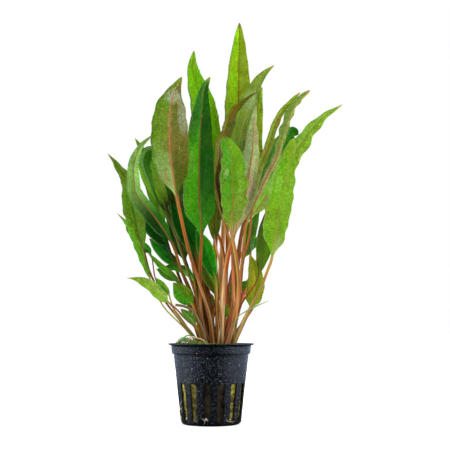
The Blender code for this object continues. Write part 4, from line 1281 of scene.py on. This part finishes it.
def make_pot(material):
    """The net pot: a grid wrapped round its outline, with the slots opened through both skins."""
    rows = pot_rows()
    bm, cell = wrapped_grid(rows)
    open_slots(bm, rows, cell)
    wall_slots(bm)
    mesh = finished_mesh(bm, "pot_moulding")
    mesh.set_sharp_from_angle(angle=math.radians(50))
    add_piece("pot_moulding", mesh, material, ["pot"])


def in_slot(angle, z):
    """Whether a place on the wall is in one of the slots."""
    off = (angle - FIRST_SLOT_ANGLE + SLOT_PERIOD / 2) % SLOT_PERIOD - SLOT_PERIOD / 2
    return SLOT_FOOT_Z - SLOT_MARGIN < z < SLOT_TOP_Z + SLOT_MARGIN and abs(off) < SLOT_HALF_ANGLE


def skin_radius(z):
    """Outer radius of the pot at a height, collar included."""
    if z > COLLAR_FOOT_Z:
        share = (z - COLLAR_FOOT_Z) / (POT_HEIGHT - COLLAR_FOOT_Z)
        return between(COLLAR_FOOT_RADIUS, COLLAR_TOP_RADIUS, share)
    return wall_radius(z)


def bead_mesh():
    """A flattened bead of water, 1 mm in radius, that lies on the plane z = 0."""
    bm = bmesh.new()
    bmesh.ops.create_uvsphere(bm, u_segments=7, v_segments=5, radius=1.0)
    bmesh.ops.scale(bm, vec=(1.0, 1.0, 0.55), verts=bm.verts[:])
    return finished_mesh(bm, "bead")


def facing_out(place, normal, size):
    """A placement on a surface: its z axis along the normal, in metres from millimetres."""
    turn = normal.to_track_quat("Z", "Y").to_matrix().to_4x4()
    return Matrix.Translation(place * MM) @ turn @ Matrix.Scale(size, 4)


def make_beads(name, placements, material, chance):
    """One piece of water beads, each with a shade of its own."""
    bead = bead_mesh()
    meshes = copies_of(bead, placements)
    bpy.data.meshes.remove(bead)
    shades = [chance.random() for _ in meshes]
    add_piece(name, gathered(name, meshes, shades), material)


def make_pot_beads(material):
    """Water beads all over the pot, most of them small, and fewer on its lower half."""
    chance = random.Random(11)
    placements = []
    while len(placements) < BEAD_COUNT:
        angle = chance.uniform(-180.0, 180.0)
        z = chance.uniform(1.5, 49.0)
        if in_slot(angle, z) or BEADLESS[0] < z < BEADLESS[1]:
            continue
        if z < SPARSE_BELOW and chance.random() < 0.5:
            continue
        size = 0.09 + 0.26 * chance.random() ** 3
        if chance.random() < 0.02:
            size += 0.2
        normal = around(angle, 1.0, 0.1).normalized()
        stretch = Matrix.Diagonal((1.0, chance.uniform(1.0, 1.5), 1.0, 1.0))
        placements.append(facing_out(around(angle, skin_radius(z), z), normal, size) @ stretch)
    make_beads("water_beads", placements, material, chance)


# The rock wool, the moss and the small growth.


def crown_distance(x, y):
    """1 on the edge of the flat crown, less inside it."""
    return math.hypot((x - CROWN_CENTRE[0]) / CROWN_RADII[0], (y - CROWN_CENTRE[1]) / CROWN_RADII[1])


def moss_height(x, y):
    """Top of the moss: flat in the crown, in low mounds around it, highest at the front left."""
    outside = within((crown_distance(x, y) - 1.0) / MOUND_RAMP)
    left = 0.5 - 0.5 * x / PAD_RADIUS
    lumps = MOSS_LUMPS * math.sin(x * 0.9 + 1.0) * math.cos(y * 0.8)
    edge = within((PAD_RADIUS - math.hypot(x, y)) / EDGE_RAMP)
    return PAD_FLAT_Z + outside * edge * (MOSS_RISE * left + lumps)


def make_wool(material):
    """The plug of rock wool: a tube swollen and pitted like matted fibre, which bulges into the slots."""
    bm, placed = drawn_tube(WOOL_RINGS, WOOL_CORNERS)
    for vert, ring, corner in placed:
        angle = 360.0 * corner / WOOL_CORNERS
        z = between(FLOOR + 0.3, PLUG_TOP_Z, ring / (WOOL_RINGS - 1))
        inner = wall_radius(z) - WALL - WOOL_GAP
        spot = around(angle, inner, z)
        folds = noise.noise(Vector((spot.x * 0.22, spot.y * 0.22, spot.z * 0.1)))
        tufts = noise.noise(spot * 0.9)
        pits = noise.noise(spot * 2.6)
        swell = 0.1 + 0.55 * folds + 0.35 * tufts + 0.22 * pits
        if not in_slot(angle, z):
            swell = min(swell, 0.0)
        swell = min(swell, WALL * 0.6)
        vert.co = around(angle, inner + swell - 0.2, z)
    mesh = finished_mesh(bm, "rock_wool_matted")
    add_shades(mesh, [noise.noise(vert.co * 700.0) * 0.5 + 0.5 for vert in mesh.vertices])
    add_piece("rock_wool_matted", mesh, material, ["rock_wool_plug"])


def make_wool_fibres(material):
    """Loose fibres on the wool where it shows in the slots."""
    chance = random.Random(5)
    meshes, shades = [], []
    for number in range(SLOT_COUNT):
        for _ in range(FIBRES_IN_SLOT):
            angle = FIRST_SLOT_ANGLE + number * SLOT_PERIOD + chance.uniform(-5.5, 5.5)
            z = chance.uniform(4.0, 24.0)
            turn = chance.uniform(0.0, math.tau)
            length = chance.uniform(1.2, 3.6)
            points = []
            for share in (-0.5, -0.15, 0.2, 0.5):
                bend = chance.uniform(-0.35, 0.35)
                place_z = min(max(z + math.cos(turn) * length * share + bend, 3.4), 25.0)
                place_angle = angle + math.degrees(math.sin(turn) * length * share / 20.0)
                out = wall_radius(place_z) - WALL + chance.uniform(-0.1, 0.55)
                points.append(around(place_angle, out, place_z))
            size = chance.uniform(0.05, 0.1)
            meshes.append(strand_mesh(points, [size, size * 0.8], corners=3, rings=6))
            shades.append(chance.random())
    add_piece("rock_wool_fibres", gathered("rock_wool_fibres", meshes, shades), material)


def make_moss_bed(material):
    """The ground under the moss shoots: a round cap of nested rings that follows the mounds."""
    bm = bmesh.new()
    bmesh.ops.create_circle(bm, cap_ends=True, segments=72, radius=PAD_RADIUS - 0.2)
    for _ in range(BED_RINGS):
        inner = max(bm.faces, key=lambda face: len(face.verts))
        bmesh.ops.inset_region(bm, faces=[inner], thickness=BED_RING_WIDTH)
    edge = [item for item in bm.edges if item.is_boundary]
    skirt = bmesh.ops.extrude_edge_only(bm, edges=edge)["geom"]
    lowered = {item for item in skirt if isinstance(item, bmesh.types.BMVert)}
    for vert in bm.verts:
        if vert in lowered:
            vert.co.z = PLUG_TOP_Z + 0.2
        else:
            rough = noise.noise(Vector((vert.co.x * 0.9, vert.co.y * 0.9, 3.0)))
            vert.co.z = moss_height(vert.co.x, vert.co.y) - 0.5 + 0.35 * rough
    bottom = [item for item in bm.edges if item.is_boundary]
    bmesh.ops.contextual_create(bm, geom=bottom)
    mesh = finished_mesh(bm, "moss_bed")
    add_shades(mesh, [0.15] * len(mesh.vertices))
    add_piece("moss_bed", mesh, material, ["moss"])


def moss_shoot(chance):
    """One shoot: a thin stem with small pointed leaves around it."""
    length = chance.uniform(1.6, 3.0)
    top = Vector((chance.uniform(-0.7, 0.7), chance.uniform(-0.7, 0.7), length))
    points = [Vector((0.0, 0.0, -0.4)), top * 0.5 + Vector((0.1, 0.0, 0.1)), top]
    side = Vector((1.0, 0.2, 0.0))
    meshes = [strand_mesh(points, [0.1, 0.07, 0.02], corners=3, rings=4, facing=side)]
    for number in range(4):
        share = 0.3 + 0.18 * number
        start = top * share
        turn = number * 2.4 + chance.uniform(0.0, 1.0)
        reach = chance.uniform(0.45, 0.8)
        tip = start + Vector((math.cos(turn) * reach, math.sin(turn) * reach, reach * 0.7))
        middle = (start + tip) / 2 + Vector((0.0, 0.0, 0.06))
        leaflet = strand_mesh([start, middle, tip], [0.03, 0.13, 0.02], corners=3, rings=3, flat=0.4,
                              facing=Vector((0.1, 0.1, 1.0)))
        meshes.append(leaflet)
    return gathered("moss_shoot", meshes, [0.5] * len(meshes))


def make_moss_shoots(material):
    """Moss shoots all over the bed, longest at the front left."""
    chance = random.Random(21)
    kinds = [moss_shoot(chance) for _ in range(SHOOT_KINDS)]
    meshes, shades = [], []
    while len(meshes) < SHOOT_COUNT:
        angle = chance.uniform(0.0, 360.0)
        radius = (PAD_RADIUS - 0.5) * math.sqrt(chance.random())
        spot = around(angle, radius)
        if crown_distance(spot.x, spot.y) < 0.85 and chance.random() < 0.7:
            continue
        left = 0.5 - 0.5 * spot.x / PAD_RADIUS
        size = chance.uniform(0.5, 0.85) + 0.35 * left
        ground = moss_height(spot.x, spot.y)
        height = min(size, max(MOSS_TOP - ground, 0.6) / 2.4)
        place = Vector((spot.x, spot.y, ground - 0.5))
        tilt = Matrix.Rotation(chance.uniform(-0.6, 0.6), 4, "X")
        tilt = tilt @ Matrix.Rotation(chance.uniform(-0.6, 0.6), 4, "Y")
        spin = Matrix.Rotation(chance.uniform(0.0, math.tau), 4, "Z")
        scale = Matrix.Diagonal((size, size, height, 1.0))
        copy = chance.choice(kinds).copy()
        copy.attributes.remove(copy.attributes["shade"])
        copy.transform(Matrix.Translation(place * MM) @ tilt @ spin @ scale)
        meshes.append(copy)
        shades.append(chance.random() * 0.8 + 0.2 * left)
    add_piece("moss_shoots", gathered("moss_shoots", meshes, shades), material)


def stem_point(x, y, rise):
    """A stem's point above the moss; past the moss's edge or over the crown it counts from the flat."""
    base = moss_height(x, y) if rise < MOSS_RISE else PAD_FLAT_Z
    return Vector((x, y, base + rise))


def make_stem(name, node, points, radii, flat, material):
    """A runner, a stub or a grass-like blade through its points."""
    route = [stem_point(*point) for point in points]
    mesh = gathered(name, [strand_mesh(route, radii, corners=10, rings=36, flat=flat)], [0.4])
    add_piece(name, mesh, material, [node])


def make_roots(material):
    """White roots that hang out of the slots and lie across the ribs near the base."""
    meshes, shades = [], []
    for paleness, route in ROOTS:
        points = [around(angle, radius, z) for angle, radius, z in route]
        meshes.append(strand_mesh(points, ROOT_RADII, corners=5, rings=len(points) * 6))
        shades.append(paleness)
    add_piece("white_roots", gathered("white_roots", meshes, shades), material)


def lump(size, least, rough, grain, spot):
    """A small rough lump, whose roughness depends on the spot it is for."""
    bm = bmesh.new()
    bmesh.ops.create_icosphere(bm, subdivisions=2, radius=size)
    for vert in bm.verts:
        vert.co *= least + rough * noise.noise(vert.co * grain + spot)
    return bm


def make_grit(material):
    """Bits of white grit at the bottom of three slots."""
    chance = random.Random(3)
    meshes = []
    for angle, z, size in GRIT:
        bm = lump(size, 0.8, 0.35, 1.7, Vector((angle, z, 0.0)))
        turn = Matrix.Rotation(chance.uniform(0.0, 3.0), 3, "X")
        bmesh.ops.rotate(bm, matrix=turn, verts=bm.verts[:])
        bmesh.ops.translate(bm, vec=around(angle, wall_radius(z) - WALL - 0.1, z), verts=bm.verts[:])
        meshes.append(finished_mesh(bm, "grit"))
    add_piece("white_grit", gathered("white_grit", meshes, [0.5] * len(meshes)), material)


def make_fleck(name, angle, radius, z, size, material):
    """A small flat scrap on the pot or in one of its slots."""
    bm = lump(size, 0.75, 0.5, 2.0, Vector((angle, z, 0.0)))
    bmesh.ops.scale(bm, vec=(1.0, 0.4, 1.0), verts=bm.verts[:])
    turn = Matrix.Rotation(math.radians(angle), 3, "Z")
    bmesh.ops.rotate(bm, matrix=turn, verts=bm.verts[:])
    bmesh.ops.translate(bm, vec=around(angle, radius, z), verts=bm.verts[:])
    mesh = gathered(name, [finished_mesh(bm, name)], [0.6])
    add_piece(name, mesh, material)


def make_dew(grown, material):
    """Small beads of water on some of the leaves, placed on points of their own surface."""
    chance = random.Random(17)
    placements = []
    for name, count, low in DEWY:
        mesh = grown[name].data
        spots = mesh.attributes["blade"].data
        picked = 0
        while picked < count:
            index = chance.randrange(len(mesh.vertices))
            share, along, front = spots[index].vector
            if along < low or along > 0.93 or front < 0.5 or abs(share) > 0.92:
                continue
            picked += 1
            size = 0.12 + 0.16 * chance.random() ** 2
            vert = mesh.vertices[index]
            placements.append(facing_out(vert.co / MM, vert.normal, size))
    make_beads("dew", placements, material, chance)


# The studio.

PLANT_MIDDLE = (0.0, 0.0, 0.13)
SHEEN_AIM = (0.0, -0.1, 0.25)

# Soft lights: name, place, aim, width and height, and power. The sheens show only as reflections,
# and the lights behind and low in front are never reflected.
LIGHTS = [
    ("sheen_left", (-0.7, -0.1, 0.25), SHEEN_AIM, (0.8, 0.46), 7.0),
    ("sheen_right", (0.7, -0.1, 0.25), SHEEN_AIM, (0.8, 0.46), 7.0),
    ("key_left", (-0.62, -0.42, 0.52), PLANT_MIDDLE, (0.3, 0.5), 4.6),
    ("fill_right", (0.66, -0.36, 0.40), PLANT_MIDDLE, (0.3, 0.5), 3.6),
    ("top", (0.0, -0.35, 0.85), PLANT_MIDDLE, (0.5, 0.4), 1.6),
    ("behind", (0.15, 0.8, 0.45), PLANT_MIDDLE, (0.6, 0.5), 3.0),
    ("low_front", (0.1, -0.75, 0.05), (0.0, 0.0, 0.07), (0.25, 0.12), 0.5),
]
MIRRORED_ONLY = ("sheen_left", "sheen_right")
NEVER_MIRRORED = ("behind", "low_front")
GROUND_SIZE = 6.0


def make_camera():
    """The camera where the picture was taken."""
    data = bpy.data.cameras.new("camera")
    data.lens = CAMERA_LENS
    data.sensor_width = SENSOR_WIDTH
    data.clip_start = 0.01
    data.clip_end = 50.0
    camera = bpy.data.objects.new("camera", data)
    bpy.context.scene.collection.objects.link(camera)
    camera.location = [value * MM for value in EYE]
    camera.rotation_euler = (math.radians(90.0 + CAMERA_TILT), 0.0, 0.0)
    bpy.context.scene.camera = camera


def add_softbox(name, place, aim, size, power):
    """A large soft light that faces a point."""
    data = bpy.data.lights.new(name, "AREA")
    data.shape = "RECTANGLE"
    data.size, data.size_y = size
    data.energy = power
    lamp = bpy.data.objects.new(name, data)
    bpy.context.scene.collection.objects.link(lamp)
    lamp.location = place
    lamp.rotation_mode = "QUATERNION"
    lamp.rotation_quaternion = (Vector(aim) - Vector(place)).to_track_quat("-Z", "Y")
    return lamp


def make_lights():
    """Soft lights at both sides, above, behind and low in front."""
    for name, place, aim, size, power in LIGHTS:
        lamp = add_softbox(name, place, aim, size, power)
        lamp.visible_diffuse = name not in MIRRORED_ONLY
        lamp.visible_glossy = name not in NEVER_MIRRORED


def make_floor():
    """A pale floor, brighter further away. Its reflection is dark, with a bluish glow at both sides."""
    bm = bmesh.new()
    bmesh.ops.create_grid(bm, x_segments=2, y_segments=2, size=GROUND_SIZE)
    mesh = bpy.data.meshes.new("floor")
    bm.to_mesh(mesh)
    bm.free()
    finish = Finish("pale_floor", 0.7, Emission_Strength=1.0)
    away = finish.node("VectorMath", {"operation": "LENGTH"}, {0: finish.place}, 1)
    glow = away.eased(-0.1, 0.3) * 0.6 + 0.45
    aside = abs(finish.node("SeparateXYZ", {}, {0: finish.place}, "X")).eased(0.09, 0.2)
    mirrored = finish.node("LightPath", {}, {}, "Is Glossy Ray")
    shown = finish.lit((1.0, 1.0, 1.0), glow)
    reflected = finish.lit((0.66, 0.85, 1.2), aside * 1.05)
    base = finish.mix((0.9, 0.9, 0.9), (0.02, 0.02, 0.02), mirrored)
    finish.feed(finish.shader.inputs["Emission Color"], finish.mix(shown, reflected, mirrored))
    mesh.materials.append(finish.show(base))
    floor = bpy.data.objects.new("floor", mesh)
    bpy.context.scene.collection.objects.link(floor)


def make_surround():
    """A white surround, full to the camera and otherwise dimmer in front."""
    world = bpy.data.worlds.new("studio")
    bpy.context.scene.world = world
    world.use_nodes = True
    surround = Graph(world.node_tree)
    spot = surround.node("TexCoord", {}, {}, "Generated")
    depth = surround.node("SeparateXYZ", {}, {0: spot}, "Y")
    limits = {"Value": depth, "From Min": -0.5, "From Max": 0.6, "To Min": 0.03, "To Max": 0.2}
    dimmed = surround.node("MapRange", {"interpolation_type": "SMOOTHSTEP"}, limits)
    seen = surround.node("LightPath", {}, {}, "Is Camera Ray")
    background = world.node_tree.nodes["Background"]
    surround.feed(background.inputs["Strength"], surround.node("Mix", {}, {0: seen, 2: dimmed, 3: 1.0}))
    surround.feed(background.inputs["Color"], (1.0, 1.0, 1.0))


def make_studio():
    """The floor, the surround and the lights, with colours shown as they are."""
    make_floor()
    make_surround()
    make_lights()
    bpy.context.scene.view_settings.view_transform = "Standard"


def main():
    """Make every piece, then the studio."""
    make_camera()
    grown = {}
    for number, leaf in enumerate(LEAVES):
        look = LOOKS[leaf.name]
        grown[leaf.name] = make_leaf(leaf, number, leaf_finish(leaf, look))
    make_pot(plastic_finish())
    make_pot_beads(water_finish())
    wool = wool_finish()
    make_wool(wool)
    make_wool_fibres(wool)
    moss = moss_finish()
    make_moss_bed(moss)
    make_moss_shoots(moss)
    for name, node, slot, points, radii, flat, dark, light in STEMS:
        make_stem(name, node, points, radii, flat, thread_finish(name + "_finish", dark, light))
    make_roots(thread_finish("root_white", ROOT_BROWN, ROOT_WHITE))
    make_grit(grit_finish())
    reddish = thread_finish("fleck_reddish", REDDISH_DARK, REDDISH)
    yellowish = thread_finish("fleck_yellow", YELLOW_DARK, YELLOW)
    make_fleck("reddish_fleck", -20.0, COLLAR_FOOT_RADIUS, 45.6, 0.7, reddish)
    make_fleck("yellow_fleck", 41.0, wall_radius(14.0) - 0.4, 14.0, 0.6, yellowish)
    make_dew(grown, dew_finish())
    make_studio()


main()
